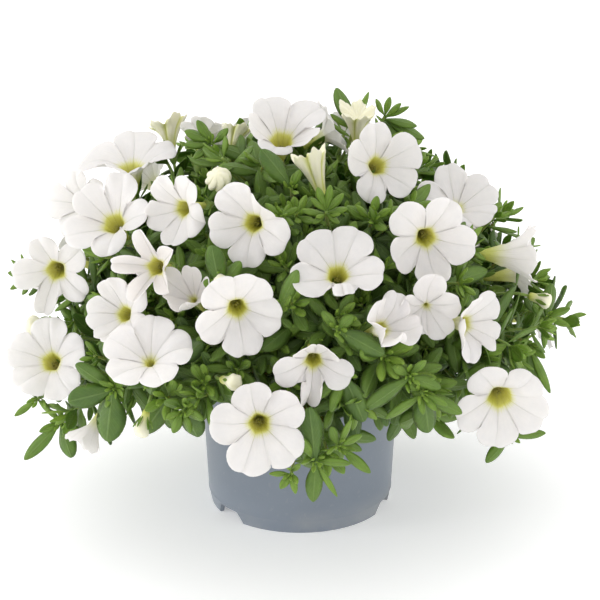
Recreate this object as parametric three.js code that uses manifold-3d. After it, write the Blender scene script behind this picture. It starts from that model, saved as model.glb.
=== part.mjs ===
// A potted calibrachoa: a mound of leafy stems with white, five-lobed trumpet flowers, in a round
// plastic nursery pot. Millimetres, +Z up, origin at the centre of the pot's base on the ground.
// The front of the plant faces -Y.
//
// Every leafy stem is one solid: its main stem, its shoots, their leaves, calyces and closed buds.
// Every open flower is a solid of its own, standing just clear of the calyx that holds it.

import * as THREE from "three";
import { mergeVertices } from "three/addons/utils/BufferGeometryUtils.js";
import Module from "manifold-3d";

const wasm = await Module();
wasm.setup();

// ---------------------------------------------------------------- driving dimensions, in mm
const POT = {
  height: 88,
  rimRadius: 52.5,
  rimHeight: 7,
  rimLip: 1.6,
  ridgeRadius: 46.8,
  ridgeHeight: 7.5,
  footRadius: 45.4,
  wall: 1.6,
  floorHeight: 6.5,
  floorThickness: 1.6,
  sides: 32,
};
const NOTCH = { count: 3, first: -51, halfWidth: 12, height: 6, slope: 3.4 }; // gaps in the skirt, degrees
const DRAIN = { count: 5, ring: 29, radius: 4.5, sides: 6 };
const SOIL = { top: 78, crown: 3, clearance: 0.8, sides: 20 };
const STEM = {
  radius: 1.8,
  sides: 4,
  steps: 6,
  depth: 9, // in the soil
  holeRadius: 3.4,
  holeGap: 0.4,
  rings: [20, 9, 0], // where the low, the middle and the top stems stand
  straight: [45, 45, 30], // pull of each of them upwards out of the soil
  arch: 22, // pull in the direction of the fork, before it
};
const TWIG = { radius: 1.1, sides: 3, stride: 32, slack: 1.2, twist: 17.5 };
const TUBE = { radius: 1.8, lip: 0.8 }; // foot of a flower's tube, and its wall at the mouth
const CALYX = { length: 4.2, mouthRadius: 2.4, sides: 5, gap: 0.4 };
const DOME = { radius: 130, rise: 104, centre: 95 }; // the mound that the flowers stand on
const BLADE = 0.7; // thickness of leaves and petals
const CLEAR = 0.4; // least gap between two nodes
const SLIVER = 0.02; // folds finer than this, where twigs meet their stem, are smoothed away
const UP = new THREE.Vector3(0, 0, 1);

// Main stems: direction from the front (+ to the right), rise of the fork in degrees, and tier.
const STEMS = [
  ...[0, 51, 103, 154, 206, 257, 309].map((yaw) => ({ yaw, rise: 8, tier: 0 })),
  ...[30, 150, 270].map((yaw) => ({ yaw, rise: 46, tier: 1 })),
  { yaw: 0, rise: 88, tier: 2 },
];
const FORK = 0.55; // share of the mound's radius at which a main stem ends

// Forms of flower. sinus: radius between two lobes as a share of the limb's radius. cup: height of
// the limb's rim over the throat's mouth, as a share of the limb's radius.
const FORMS = {
  open: { sinus: 0.71, cup: 0.42, throat: 0.22, tube: 15 },
  starry: { sinus: 0.54, cup: 0.38, throat: 0.22, tube: 15 },
  young: { sinus: 0.4, cup: 0.4, throat: 0.24, tube: 14 },
  half: { sinus: 0.74, cup: 0.85, throat: 0.26, tube: 14 },
};

// Flowers that show from the front: place of the throat's mouth, facing (yaw from the front, + to
// the right, and pitch over the horizon), roll of the upper lobe, radius of the limb, and the cup
// where it isn't the form's own.
const FLOWERS = [
  { form: "open", at: [-9, -16, 194], yaw: 4, pitch: 62, roll: 18, radius: 20, cup: 0.58 },
  { form: "open", at: [36, -38, 189], yaw: 23, pitch: 27, roll: 2, radius: 20.5 },
  { form: "open", at: [-83, 8, 172], yaw: -16, pitch: 76, roll: 10, radius: 22.5 },
  { form: "open", at: [-106, 14, 152], yaw: -40, pitch: 15, roll: 20, radius: 19 },
  { form: "open", at: [-88, -42, 161], yaw: -28, pitch: 45, roll: -8, radius: 21, cup: 0.52 },
  { form: "open", at: [-54, -59, 175], yaw: -40, pitch: 8, roll: 44, radius: 18.5 },
  { form: "open", at: [-21, -80, 175], yaw: -18, pitch: 13, roll: 36, radius: 20.5 },
  { form: "open", at: [17, -102, 157], yaw: 3, pitch: 45, roll: 43, radius: 22 },
  { form: "open", at: [57.5, -80.5, 168.5], yaw: 10, pitch: 5, roll: 42, radius: 22 },
  { form: "open", at: [76, -14, 159], yaw: 30, pitch: 50, roll: 0, radius: 20 },
  { form: "half", at: [96, -48, 148], yaw: 84, pitch: 0, roll: 10, radius: 17 },
  { form: "starry", at: [-118, -30, 134], yaw: -8, pitch: 5, roll: 21, radius: 20.5 },
  { form: "young", at: [-66, -84, 155], yaw: -26, pitch: 18, roll: 19, radius: 18 },
  { form: "open", at: [-81, -80, 130], yaw: -38, pitch: 26, roll: 30, radius: 18 },
  { form: "half", at: [-48.5, -86, 139], yaw: -30, pitch: 40, roll: 0, radius: 12 },
  { form: "open", at: [-120, -46, 92], yaw: -16, pitch: 34, roll: 6, radius: 22 },
  { form: "open", at: [-68, -112, 118], yaw: -15, pitch: 55, roll: 2, radius: 21.5, cup: 0.52 },
  { form: "open", at: [-28.5, -112, 146], yaw: 8, pitch: -2, roll: 43, radius: 21 },
  { form: "open", at: [6, -118, 123], yaw: 5, pitch: -4, roll: 30, radius: 18 },
  { form: "half", at: [36, -112, 135], yaw: 35, pitch: 28, roll: 30, radius: 14.5, cup: 0.6 },
  { form: "half", at: [57.5, -98, 142], yaw: 4, pitch: -10, roll: 0, radius: 13, cup: 0.6 },
  { form: "open", at: [74.5, -97, 132], yaw: 46, pitch: 6, roll: 18, radius: 18, cup: 0.52 },
  { form: "open", at: [93, -92, 94], yaw: 6, pitch: -8, roll: 30, radius: 23 },
  { form: "open", at: [-18.5, -127, 95.5], yaw: 2, pitch: 14, roll: 15, radius: 23 },
  { form: "open", at: [-48, 22, 184], yaw: 170, pitch: 40, roll: 0, radius: 13 },
  { form: "half", at: [-98, -74, 71], yaw: -50, pitch: -48, roll: 0, radius: 12 },
  { form: "open", at: [104, -20, 128], yaw: 100, pitch: 5, roll: 0, radius: 13 },
  { form: "open", at: [12, 18, 187], yaw: 95, pitch: 28, roll: 0, radius: 17 },
];

// Flowers of the far side, evenly spread: yaw, rise and share of the mound's radius.
const FAR_FLOWERS = [
  [104, -4, 0.94], [122, 22, 0.84], [134, 9, 1], [141, -14, 1], [148, 60, 0.88], [158, 36, 1],
  [163, 3, 1], [182, -12, 1.03], [185, 22, 1], [202, 46, 0.95], [206, 4, 1], [224, 28, 1],
  [234, -10, 1], [248, 10, 1],
].map(([yaw, rise, share], i) => ({
  form: i % 5 === 3 ? "starry" : "open",
  at: onMound(yaw, rise, 0.97 * share).toArray(),
  yaw: yaw + 14 * Math.sin(i * 2.4),
  pitch: 14 + 0.6 * rise,
  roll: 25 * i,
  radius: 18.5 + 2.5 * Math.cos(i * 1.7),
}));

// Opening buds, each a pale body of its own that stands in a calyx: place of the tip, facing,
// length and radius.
const OPENING_BUDS = [
  { at: [-67, 40, 188], yaw: -160, pitch: 60, length: 17, radius: 7 },
  { at: [28, 12, 202], yaw: -10, pitch: 84, length: 20, radius: 7.5 },
  { at: [4, -48, 198], yaw: -107, pitch: 71, length: 24, radius: 7 },
  { at: [-40, -44, 187], yaw: -30, pitch: 50, length: 13, radius: 6 },
  { at: [-31, 14, 193], yaw: 150, pitch: 68, length: 14, radius: 6 },
];

// Closed green buds, which are part of their leafy stem.
const BUDS = [
  { at: [-74, -108, 80], yaw: -30, pitch: -60, length: 13, radius: 3.6 },
  { at: [121, -40, 121], yaw: 70, pitch: -10, length: 11, radius: 3.8 },
  { at: [-28, -124, 114], yaw: 40, pitch: 10, length: 12, radius: 3.8 },
  { at: [-36, -100, 154], yaw: 0, pitch: 20, length: 9, radius: 3.2 },
  { at: [-136, -12, 99], yaw: -100, pitch: 12, length: 17, radius: 5 },
  { at: [-4, 112, 150], yaw: 180, pitch: 30, length: 14, radius: 4 },
  { at: [96, 76, 118], yaw: 130, pitch: 24, length: 13, radius: 4 },
];

// Leafy shoot tips: place, facing, number of leaves and length of the longest.
const TIPS = [
  { at: [-40, -18, 190], yaw: -50, pitch: 48, leaves: 6, length: 21 },
  { at: [-17, -30, 192], yaw: 20, pitch: 60, leaves: 5, length: 24 },
  { at: [-1, -70, 178], yaw: 10, pitch: 40, leaves: 5, length: 17 },
  { at: [34, -70, 176], yaw: 5, pitch: 38, leaves: 6, length: 20 },
  { at: [46, 16, 192], yaw: 60, pitch: 60, leaves: 6, length: 19 },
  { at: [26, 22, 190], yaw: -20, pitch: 78, leaves: 3, length: 25 },
  { at: [-72, 32, 179], yaw: -120, pitch: 55, leaves: 5, length: 17 },
  { at: [-32, -90, 161], yaw: -20, pitch: 30, leaves: 5, length: 18 },
  { at: [-4, -108, 148], yaw: -5, pitch: 40, leaves: 5, length: 20 },
  { at: [20, -112, 141], yaw: 20, pitch: 20, leaves: 6, length: 19 },
  { at: [40, -112, 122], yaw: 15, pitch: 20, leaves: 5, length: 26 },
  { at: [-62, -110, 99], yaw: -10, pitch: 10, leaves: 6, length: 23 },
  { at: [-92, -88, 98], yaw: -35, pitch: 15, leaves: 6, length: 23 },
  { at: [-116, -50, 62], yaw: -60, pitch: -35, leaves: 6, length: 25 },
  { at: [-44, -116, 110], yaw: 0, pitch: 20, leaves: 6, length: 18 },
  { at: [13, -126, 77], yaw: 8, pitch: -15, leaves: 6, length: 24 },
  { at: [28, -120, 96], yaw: 15, pitch: -30, leaves: 4, length: 21 },
  { at: [52, -114, 111], yaw: 25, pitch: 10, leaves: 6, length: 23 },
  { at: [64, -106, 96], yaw: 30, pitch: -20, leaves: 4, length: 20 },
  { at: [122, -46, 111], yaw: 80, pitch: 8, leaves: 6, length: 20 },
  { at: [106, -66, 104], yaw: 70, pitch: -30, leaves: 5, length: 25 },
  { at: [96, -70, 62], yaw: 50, pitch: -40, leaves: 4, length: 18 },
  { at: [84, -54, 157], yaw: 60, pitch: 30, leaves: 5, length: 20 },
  { at: [-130, 4, 118], yaw: -90, pitch: 20, leaves: 6, length: 18 },
  { at: [-96, -70, 131], yaw: -50, pitch: 10, leaves: 6, length: 19 },
  { at: [78, -80, 146], yaw: 40, pitch: 20, leaves: 3, length: 20 },
  { at: [-128, 30, 80], yaw: -105, pitch: -20, leaves: 5, length: 22 },
  { at: [140, 8, 92], yaw: 92, pitch: -15, leaves: 6, length: 22 },
];

// Leafy tips of the far side, by yaw and rise on the mound.
const FAR_TIPS = [
  [112, -24], [124, -10], [152, -26], [172, -28], [196, -26], [218, -26], [250, -24],
  [98, 10], [120, 4], [146, 0], [172, 8], [194, -4], [220, 8], [264, 6],
  [150, 22], [126, 34], [142, 28], [172, 44], [204, 28], [240, 30], [120, 58], [176, 70], [230, 54],
].map(([yaw, rise], i) => ({
  at: onMound(yaw, rise, 0.98).toArray(),
  yaw,
  pitch: 8 + 0.6 * rise,
  leaves: 4,
  length: 20 + (i % 4),
}));

// ---------------------------------------------------------------- small tools

// A repeatable draw from 0 to 1 for three whole numbers.
function draw(a, b, c) {
  let h = (a * 374761393 + b * 668265263 + c * 2246822519) >>> 0;
  h = Math.imul(h ^ (h >>> 15), 2246822519);
  h = Math.imul(h ^ (h >>> 13), 3266489917);
  h = (h ^ (h >>> 16)) >>> 0;
  return h / 4294967296;
}

// Unit vector of a yaw from the front and a pitch over the horizon, in degrees.
function heading(yaw, pitch) {
  const y = THREE.MathUtils.degToRad(yaw);
  const p = THREE.MathUtils.degToRad(pitch);
  return new THREE.Vector3(Math.sin(y) * Math.cos(p), -Math.cos(y) * Math.cos(p), Math.sin(p));
}

// Point of the mound at a yaw and rise, at a share of its radius.
function onMound(yaw, rise, share) {
  const d = heading(yaw, rise);
  return new THREE.Vector3(
    d.x * DOME.radius * share,
    d.y * DOME.radius * share,
    DOME.centre + d.z * DOME.rise * share,
  );
}

// A closed three.js geometry as a solid.
function solid(geometry) {
  const bare = geometry.clone();
  bare.deleteAttribute("normal");
  bare.deleteAttribute("uv");
  const merged = mergeVertices(bare, 1e-4);
  return new wasm.Manifold(
    new wasm.Mesh({
      numProp: 3,
      vertProperties: new Float32Array(merged.attributes.position.array),
      triVerts: new Uint32Array(merged.index.array),
    }),
  );
}

function meshOf(name, body, material) {
  const { vertProperties, triVerts } = body.getMesh();
  const geometry = new THREE.BufferGeometry();
  geometry.setAttribute("position", new THREE.BufferAttribute(new Float32Array(vertProperties), 3));
  geometry.setIndex(new THREE.BufferAttribute(new Uint32Array(triVerts), 1));
  geometry.computeVertexNormals();
  const mesh = new THREE.Mesh(geometry, material);
  mesh.name = name;
  return mesh;
}

// The skin of one closed body. Rings of points all run the same way round: anticlockwise seen from
// the end that the body is built towards.
class Skin {
  constructor() {
    this.points = [];
    this.faces = [];
  }

  ring(points) {
    return points.map((p) => this.points.push(p) - 1);
  }

  // Closes the strip between two rings, which may have different numbers of points.
  join(a, b) {
    let [i, j] = [0, 0];
    while (i < a.length || j < b.length) {
      if (j === b.length || (i < a.length && (i + 0.5) / a.length <= (j + 0.5) / b.length)) {
        this.faces.push([a[i % a.length], a[(i + 1) % a.length], b[j % b.length]]);
        i += 1;
      } else {
        this.faces.push([a[i % a.length], b[(j + 1) % b.length], b[j % b.length]]);
        j += 1;
      }
    }
  }

  quad(a0, a1, b1, b0) {
    this.faces.push([a0, a1, b1], [a0, b1, b0]);
  }

  startCap(ring) {
    for (let i = 1; i + 1 < ring.length; i++) this.faces.push([ring[0], ring[i + 1], ring[i]]);
  }

  endCap(ring) {
    for (let i = 1; i + 1 < ring.length; i++) this.faces.push([ring[0], ring[i], ring[i + 1]]);
  }

  point(ring, apex) {
    ring.forEach((p, i) => this.faces.push([p, ring[(i + 1) % ring.length], apex]));
  }

  solid() {
    const geometry = new THREE.BufferGeometry();
    const flat = this.points.flatMap((p) => [p.x, p.y, p.z]);
    geometry.setAttribute("position", new THREE.Float32BufferAttribute(flat, 3));
    geometry.setIndex(this.faces.flat());
    return solid(geometry);
  }
}

// Points round a centre, in the plane of two directions.
function circle(centre, x, y, radius, count, phase) {
  return Array.from({ length: count }, (_, i) => {
    const a = phase + (2 * Math.PI * i) / count;
    return centre
      .clone()
      .addScaledVector(x, radius * Math.cos(a))
      .addScaledVector(y, radius * Math.sin(a));
  });
}

// ---------------------------------------------------------------- pot and soil

// Outer radius of the pot's wall at a height.
function wallRadius(z) {
  const share = (z - POT.ridgeHeight) / (POT.height - POT.ridgeHeight);
  return POT.ridgeRadius + share * (POT.rimRadius - POT.rimLip - POT.ridgeRadius);
}

function turned(profile, sides) {
  const points = profile.map(([r, z]) => new THREE.Vector2(r, z));
  return solid(new THREE.LatheGeometry(points, sides).rotateX(Math.PI / 2));
}

function potSolid() {
  const lip = POT.height - POT.rimHeight;
  const inner = POT.floorHeight + POT.floorThickness;
  let pot = turned(
    [
      [0, POT.floorHeight],
      [POT.footRadius - 2 * POT.wall, POT.floorHeight],
      [POT.footRadius - 1.4 * POT.wall, 0],
      [POT.footRadius, 0],
      [POT.ridgeRadius, POT.ridgeHeight],
      [wallRadius(lip), lip],
      [POT.rimRadius, lip + 0.8],
      [POT.rimRadius, POT.height],
      [wallRadius(POT.height) - POT.wall, POT.height],
      [wallRadius(inner) - POT.wall, inner],
      [0, inner],
    ],
    POT.sides,
  );
  for (let i = 0; i < NOTCH.count; i++) {
    pot = pot.subtract(notchSolid(NOTCH.first + (360 / NOTCH.count) * i));
  }
  for (let i = 0; i <= DRAIN.count; i++) {
    const ring = i < DRAIN.count ? DRAIN.ring : 0;
    const centre = heading((360 / DRAIN.count) * i, 0).multiplyScalar(ring);
    const drill = new THREE.CylinderGeometry(DRAIN.radius, DRAIN.radius, 12, DRAIN.sides)
      .rotateX(Math.PI / 2)
      .translate(centre.x, centre.y, POT.floorHeight);
    pot = pot.subtract(solid(drill));
  }
  return pot;
}

// A block with sloping ends that cuts one gap in the skirt under the pot.
function notchSolid(yaw) {
  const width = POT.footRadius * Math.sin(THREE.MathUtils.degToRad(NOTCH.halfWidth));
  const outline = new THREE.Shape();
  outline.moveTo(-width, -1);
  outline.lineTo(width, -1);
  outline.lineTo(width - NOTCH.slope, NOTCH.height);
  outline.lineTo(-width + NOTCH.slope, NOTCH.height);
  outline.closePath();
  return solid(
    new THREE.ExtrudeGeometry(outline, { depth: 14, bevelEnabled: false })
      .rotateX(Math.PI / 2)
      .translate(0, -POT.footRadius + 10, 0)
      .rotateZ(THREE.MathUtils.degToRad(yaw)),
  );
}

function soilSolid() {
  const floor = POT.floorHeight + POT.floorThickness + SOIL.clearance;
  const radius = (z) => wallRadius(z) - POT.wall - SOIL.clearance;
  let soil = turned(
    [
      [0, floor],
      [radius(floor), floor],
      [radius(SOIL.top), SOIL.top],
      [0.6 * radius(SOIL.top), SOIL.top + 0.7 * SOIL.crown],
      [0, SOIL.top + SOIL.crown],
    ],
    SOIL.sides,
  );
  STEMS.forEach((stem) => {
    const foot = stemFoot(stem);
    const hole = new THREE.CylinderGeometry(STEM.holeRadius, STEM.holeRadius, 40, 6)
      .rotateX(Math.PI / 2)
      .translate(foot.x, foot.y, foot.z - STEM.holeGap + 20);
    soil = soil.subtract(solid(hole));
  });
  return soil;
}

// ---------------------------------------------------------------- stems and twigs

// Main stems stand in the soil on two rings, with the steepest one in the middle.
function stemFoot(stem) {
  return heading(stem.yaw, 0)
    .multiplyScalar(STEM.rings[stem.tier])
    .setZ(SOIL.top - STEM.depth);
}

// A main stem grows straight up out of the soil and arches over to its fork.
function stemCurve(stem) {
  const foot = stemFoot(stem);
  const fork = onMound(stem.yaw, stem.rise, FORK);
  return new THREE.CubicBezierCurve3(
    foot,
    foot.clone().addScaledVector(UP, STEM.straight[stem.tier]),
    fork.clone().addScaledVector(heading(stem.yaw, stem.rise), -STEM.arch),
    fork,
  );
}

function stemSolid(curve) {
  const outline = new THREE.Shape();
  for (let i = 0; i < STEM.sides; i++) {
    const a = (2 * Math.PI * i) / STEM.sides;
    const corner = [STEM.radius * Math.cos(a), STEM.radius * Math.sin(a)];
    if (i) outline.lineTo(...corner);
    else outline.moveTo(...corner);
  }
  const options = { steps: STEM.steps, bevelEnabled: false, extrudePath: curve };
  return solid(new THREE.ExtrudeGeometry(outline, options));
}

// A twig leaves its main stem part of the way along and ends in the direction that it faces.
function twigCurve(stem, share, end, facing) {
  const points = stem.getSpacedPoints(STEM.steps);
  const k = Math.min(Math.floor(share * STEM.steps), STEM.steps - 1);
  const start = points[k].clone().lerp(points[k + 1], share * STEM.steps - k);
  const along = points[k + 1].clone().sub(points[k]).normalize();
  const span = start.distanceTo(end);
  return new THREE.CubicBezierCurve3(
    start,
    start.clone().addScaledVector(along, 0.3 * span),
    end.clone().addScaledVector(facing, -0.4 * span),
    end,
  );
}

// The main stem whose fork lies most nearly in the direction of a point.
function nearestStem(at) {
  const spread = (p) =>
    new THREE.Vector3(
      p.x / DOME.radius,
      p.y / DOME.radius,
      (p.z - DOME.centre) / DOME.rise,
    ).normalize();
  const want = spread(at);
  const near = STEMS.map((stem) => spread(onMound(stem.yaw, stem.rise, 1)).dot(want));
  return near.indexOf(Math.max(...near));
}

// ---------------------------------------------------------------- leaves

// Rows across a leaf: share of its length, and share of its width there.
const LEAF_ROWS = [
  [0.34, 0.86],
  [0.7, 0.96],
];
const SMALL_LEAF_ROWS = [[0.55, 1]];
const SMALL_LEAF = 16;

// A leaf grows out of one side face of its twig: root holds the four corners of that face. It
// leaves the twig at its splay angle and curves back away from the twig's tip.
function leafRows(root, twigAlong, leaf) {
  const [a0, a1, b1, b0] = root;
  const centre = a0.clone().add(a1).add(b1).add(b0).multiplyScalar(0.25);
  const side = a1.clone().sub(a0).normalize();
  const along = twigAlong.clone().addScaledVector(side, -side.dot(twigAlong)).normalize();
  const out = new THREE.Vector3().crossVectors(side, along).normalize();
  const swing = THREE.MathUtils.degToRad(leaf.swing);
  const across = side.clone().multiplyScalar(Math.cos(swing)).addScaledVector(out, -Math.sin(swing));
  const away = out.clone().multiplyScalar(Math.cos(swing)).addScaledVector(side, Math.sin(swing));
  const splay = THREE.MathUtils.degToRad(leaf.splay);
  const rows = leaf.length < SMALL_LEAF ? SMALL_LEAF_ROWS : LEAF_ROWS;
  return [...rows, [1, 0]].map(([u, breadth]) => {
    const middle = centre
      .clone()
      .addScaledVector(along, leaf.length * (u * Math.cos(splay) - leaf.back * u * u))
      .addScaledVector(away, leaf.length * u * Math.sin(splay));
    const run = along
      .clone()
      .multiplyScalar(Math.cos(splay) - 2 * leaf.back * u)
      .addScaledVector(away, Math.sin(splay))
      .normalize();
    const top = new THREE.Vector3().crossVectors(run, across).normalize();
    const corner = (s, t) =>
      middle
        .clone()
        .addScaledVector(across, (s * breadth * leaf.width) / 2)
        .addScaledVector(top, (t * BLADE) / 2);
    if (!breadth) return [corner(0, -1), corner(0, 1)];
    return [corner(-1, -1), corner(1, -1), corner(1, 1), corner(-1, 1)];
  });
}

// Adds a leaf's faces to a skin, outward from the ring of its root.
function growLeaf(skin, root, rows) {
  let last = root;
  for (const row of rows.slice(0, -1)) {
    const next = skin.ring(row);
    skin.join(last, next);
    last = next;
  }
  const [low, high] = skin.ring(rows[rows.length - 1]);
  skin.faces.push([last[0], last[1], low], [last[2], last[3], high]);
  skin.quad(last[1], last[2], high, low);
  skin.quad(last[3], last[0], low, high);
}

function leafSolid(root, rows) {
  const skin = new Skin();
  const ring = skin.ring(root);
  skin.startCap(ring);
  growLeaf(skin, ring, rows);
  return skin.solid();
}

// ---------------------------------------------------------------- twigs with their leaves

// Rings of a twig at distances back from its end, turned a little from each leaf to the next so
// that leaves follow each other by about the golden angle.
function twigRings(twig) {
  const { curve } = twig;
  const span = curve.v0.distanceTo(curve.v3);
  const reach = TWIG.slack * span;
  const stations = [];
  const far = Math.max(...twig.stations);
  const plain = Math.max(1, Math.round((reach - far) / TWIG.stride));
  for (let i = 0; i < plain; i++) stations.push(((1 - far / reach) * i) / plain);
  for (const back of twig.stations) stations.push(1 - back / reach);
  let normal = new THREE.Vector3().crossVectors(curve.getTangent(0), UP);
  if (normal.length() < 0.2) normal.set(1, 0, 0);
  return stations.map((t, k) => {
    const tangent = curve.getTangent(t);
    normal = normal.clone().addScaledVector(tangent, -normal.dot(tangent)).normalize();
    const turn = twig.turn + THREE.MathUtils.degToRad(TWIG.twist * Math.max(0, k - plain));
    const cross = new THREE.Vector3().crossVectors(tangent, normal);
    const centre = curve.getPoint(t);
    return {
      tangent,
      centre,
      normal,
      cross,
      turn,
      points: circle(centre, normal, cross, TWIG.radius, TWIG.sides, turn),
    };
  });
}

// Rings beyond the twig's end: the cup of a calyx, or a calyx and the bud in it.
function endRings(twig) {
  const { centre, tangent, normal, cross, turn } = twig.rings[twig.rings.length - 1];
  return twig.outline.map(([height, radius]) => {
    const middle = centre.clone().addScaledVector(tangent, height);
    return circle(middle, normal, cross, radius, CALYX.sides, turn);
  });
}

// A twig's skin, with each leaf in the place of one of its side faces.
function twigSolid(twig, leaves) {
  const skin = new Skin();
  const rings = twig.rings.map((ring) => skin.ring(ring.points));
  skin.startCap(rings[0]);
  for (let k = 0; k + 1 < rings.length; k++) {
    for (let side = 0; side < TWIG.sides; side++) {
      const next = (side + 1) % TWIG.sides;
      const face = [rings[k][side], rings[k][next], rings[k + 1][next], rings[k + 1][side]];
      const leaf = leaves.find((l) => l.segment === k && l.side === side);
      if (leaf) growLeaf(skin, face, leaf.rows);
      else skin.quad(...face);
    }
  }
  let last = rings[rings.length - 1];
  for (const points of twig.endRings) {
    const ring = skin.ring(points);
    skin.join(last, ring);
    last = ring;
  }
  skin.endCap(last);
  return skin.solid();
}

// ---------------------------------------------------------------- flowers

// Heights and radii along a lobe's rim, from one gap between lobes to the next: share of the
// limb's radius, and share of its cup.
function lobeRim(form) {
  return [
    [form.sinus, 0.75],
    [0.96, 0.95],
    [0.98, 1.02],
    [0.96, 0.95],
  ];
}

// A trumpet with five lobes: a thin limb round a throat that is open half-way down the tube.
function flowerSolid(flower) {
  const form = FORMS[flower.form];
  const z = heading(flower.yaw, flower.pitch);
  const x = new THREE.Vector3().crossVectors(UP, z).normalize();
  const y = new THREE.Vector3().crossVectors(z, x);
  const mouth = new THREE.Vector3(...flower.at);
  const phase = THREE.MathUtils.degToRad(flower.roll + 90 + 36);
  const cup = flower.radius * (flower.cup ?? form.cup);
  const rim = lobeRim(form);
  const level = (height) => mouth.clone().addScaledVector(z, height);
  const rimAt = (drop) =>
    Array.from({ length: 20 }, (_, i) => {
      const [reach, lift] = rim[i % 4];
      const centre = level(cup * lift - drop);
      const turn = phase + (Math.PI * i) / 10;
      return circle(centre, x, y, flower.radius * reach, 1, turn)[0];
    });
  const throat = flower.radius * form.throat;
  const skin = new Skin();
  const rings = [
    circle(level(-form.tube), x, y, TUBE.radius, 5, phase),
    circle(level(-BLADE), x, y, throat + TUBE.lip, 5, phase),
    rimAt(BLADE),
    rimAt(0),
    circle(level(0), x, y, throat, 5, phase),
  ].map((points) => skin.ring(points));
  skin.startCap(rings[0]);
  for (let i = 0; i + 1 < rings.length; i++) skin.join(rings[i], rings[i + 1]);
  const [pit] = skin.ring([level(-0.5 * form.tube)]);
  skin.point(rings[4], pit);
  return skin.solid();
}

// A bud that opens like a slim vase, with its limb still rolled in.
function openingBudSolid(bud) {
  const z = heading(bud.yaw, bud.pitch);
  const x = new THREE.Vector3().crossVectors(UP, z).normalize();
  const y = new THREE.Vector3().crossVectors(z, x);
  const foot = new THREE.Vector3(...bud.at).addScaledVector(z, -bud.length);
  const skin = new Skin();
  const rings = [[0, TUBE.radius], ...budOutline(bud)].map(([height, radius]) =>
    skin.ring(circle(foot.clone().addScaledVector(z, height), x, y, radius, 8, 0)),
  );
  skin.startCap(rings[0]);
  for (let i = 0; i + 1 < rings.length; i++) skin.join(rings[i], rings[i + 1]);
  skin.endCap(rings[rings.length - 1]);
  return skin.solid();
}

// ---------------------------------------------------------------- the plant's plan

const flowers = [...FLOWERS, ...FAR_FLOWERS];
const tips = [...TIPS, ...FAR_TIPS];
const flowerName = (i) => `flower_${String(i + 1).padStart(2, "0")}`;
const budName = (i) => `opening_bud_${String(i + 1).padStart(2, "0")}`;
const stemName = (i) => `leafy_stem_${String(i + 1).padStart(2, "0")}`;

// Distances of a leafy tip's rings back from its end, one leaf between each two of them.
function tipStations(count) {
  const list = [0];
  for (let i = 0; i < count; i++) list.unshift(list[0] + 1.7 + 0.3 * i);
  return list;
}

// Height and radius of a bud over its foot: waist, widest part and tip.
function budOutline({ length, radius }) {
  return [
    [0.45 * length, Math.max(1.9, 0.5 * radius)],
    [0.86 * length, radius],
    [length, 0.6 * radius],
  ];
}

const FLOWER_STATIONS = [9.5, 7, 0];
const BUD_STATIONS = [9, 6.5, 0];

const plans = [
  ...flowers.map((flower, i) => {
    const facing = heading(flower.yaw, flower.pitch);
    const back = FORMS[flower.form].tube + CALYX.gap + CALYX.length;
    return {
      end: new THREE.Vector3(...flower.at).addScaledVector(facing, -back),
      facing,
      stations: i % 2 ? [0] : FLOWER_STATIONS,
      leafy: i % 2 ? [] : [0],
      outline: [[CALYX.length, CALYX.mouthRadius]],
      length: 19,
    };
  }),
  ...OPENING_BUDS.map((bud) => {
    const facing = heading(bud.yaw, bud.pitch);
    const back = bud.length + CALYX.gap + CALYX.length;
    return {
      end: new THREE.Vector3(...bud.at).addScaledVector(facing, -back),
      facing,
      stations: [0],
      leafy: [],
      outline: [[CALYX.length, CALYX.mouthRadius]],
      length: 16,
    };
  }),
  ...BUDS.map((bud) => {
    const facing = heading(bud.yaw, bud.pitch);
    return {
      end: new THREE.Vector3(...bud.at).addScaledVector(facing, -bud.length),
      facing,
      stations: BUD_STATIONS,
      leafy: [0],
      outline: [[1.5, 1.9], ...budOutline(bud)],
      length: 16,
    };
  }),
  ...tips.map((tip) => {
    const facing = heading(tip.yaw, tip.pitch);
    return {
      end: new THREE.Vector3(...tip.at).addScaledVector(facing, -5),
      facing,
      stations: tipStations(tip.leaves),
      leafy: Array.from({ length: tip.leaves }, (_, i) => i),
      outline: [],
      length: tip.length,
    };
  }),
];

// ---------------------------------------------------------------- building the plant

const paint = (color, roughness) =>
  new THREE.MeshStandardMaterial({ color, roughness, metalness: 0 });
const MATERIALS = {
  pot: paint(0x7f8792, 0.55),
  soil: paint(0x2e241d, 0.95),
  green: paint(0x4d7a35, 0.6),
  petal: paint(0xf4f2ef, 0.55),
  bud: paint(0xece9c8, 0.55),
};

// Bodies that are in place, which a new leaf has to clear.
const NO_TWIG = -1;
const standing = [];
function stand(twig, body) {
  standing.push({ twig, body, box: body.boundingBox() });
}

function boxesApart(a, b, gap) {
  return [0, 1, 2].some((k) => a.min[k] - gap > b.max[k] || a.max[k] + gap < b.min[k]);
}

// A leaf stays clear of everything but its own twig, which it only meets at its root.
function isClear(body, twig) {
  const box = body.boundingBox();
  return !standing.some((other) => {
    if (boxesApart(box, other.box, CLEAR)) return false;
    if (other.twig === twig) return body.intersect(other.body).volume() > 1e-3;
    return body.minGap(other.body, 2 * CLEAR) < CLEAR;
  });
}

// Ways to grow a leaf, tried in turn: another side of the twig, a swing to one side, and a share
// of its full length.
const TRIES = [
  [0, 0, 1],
  [0, 22, 1],
  [0, -22, 1],
  [1, 0, 0.95],
  [2, 0, 0.95],
  [1, 24, 0.85],
  [2, -24, 0.85],
  [0, 0, 0.7],
];

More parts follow.
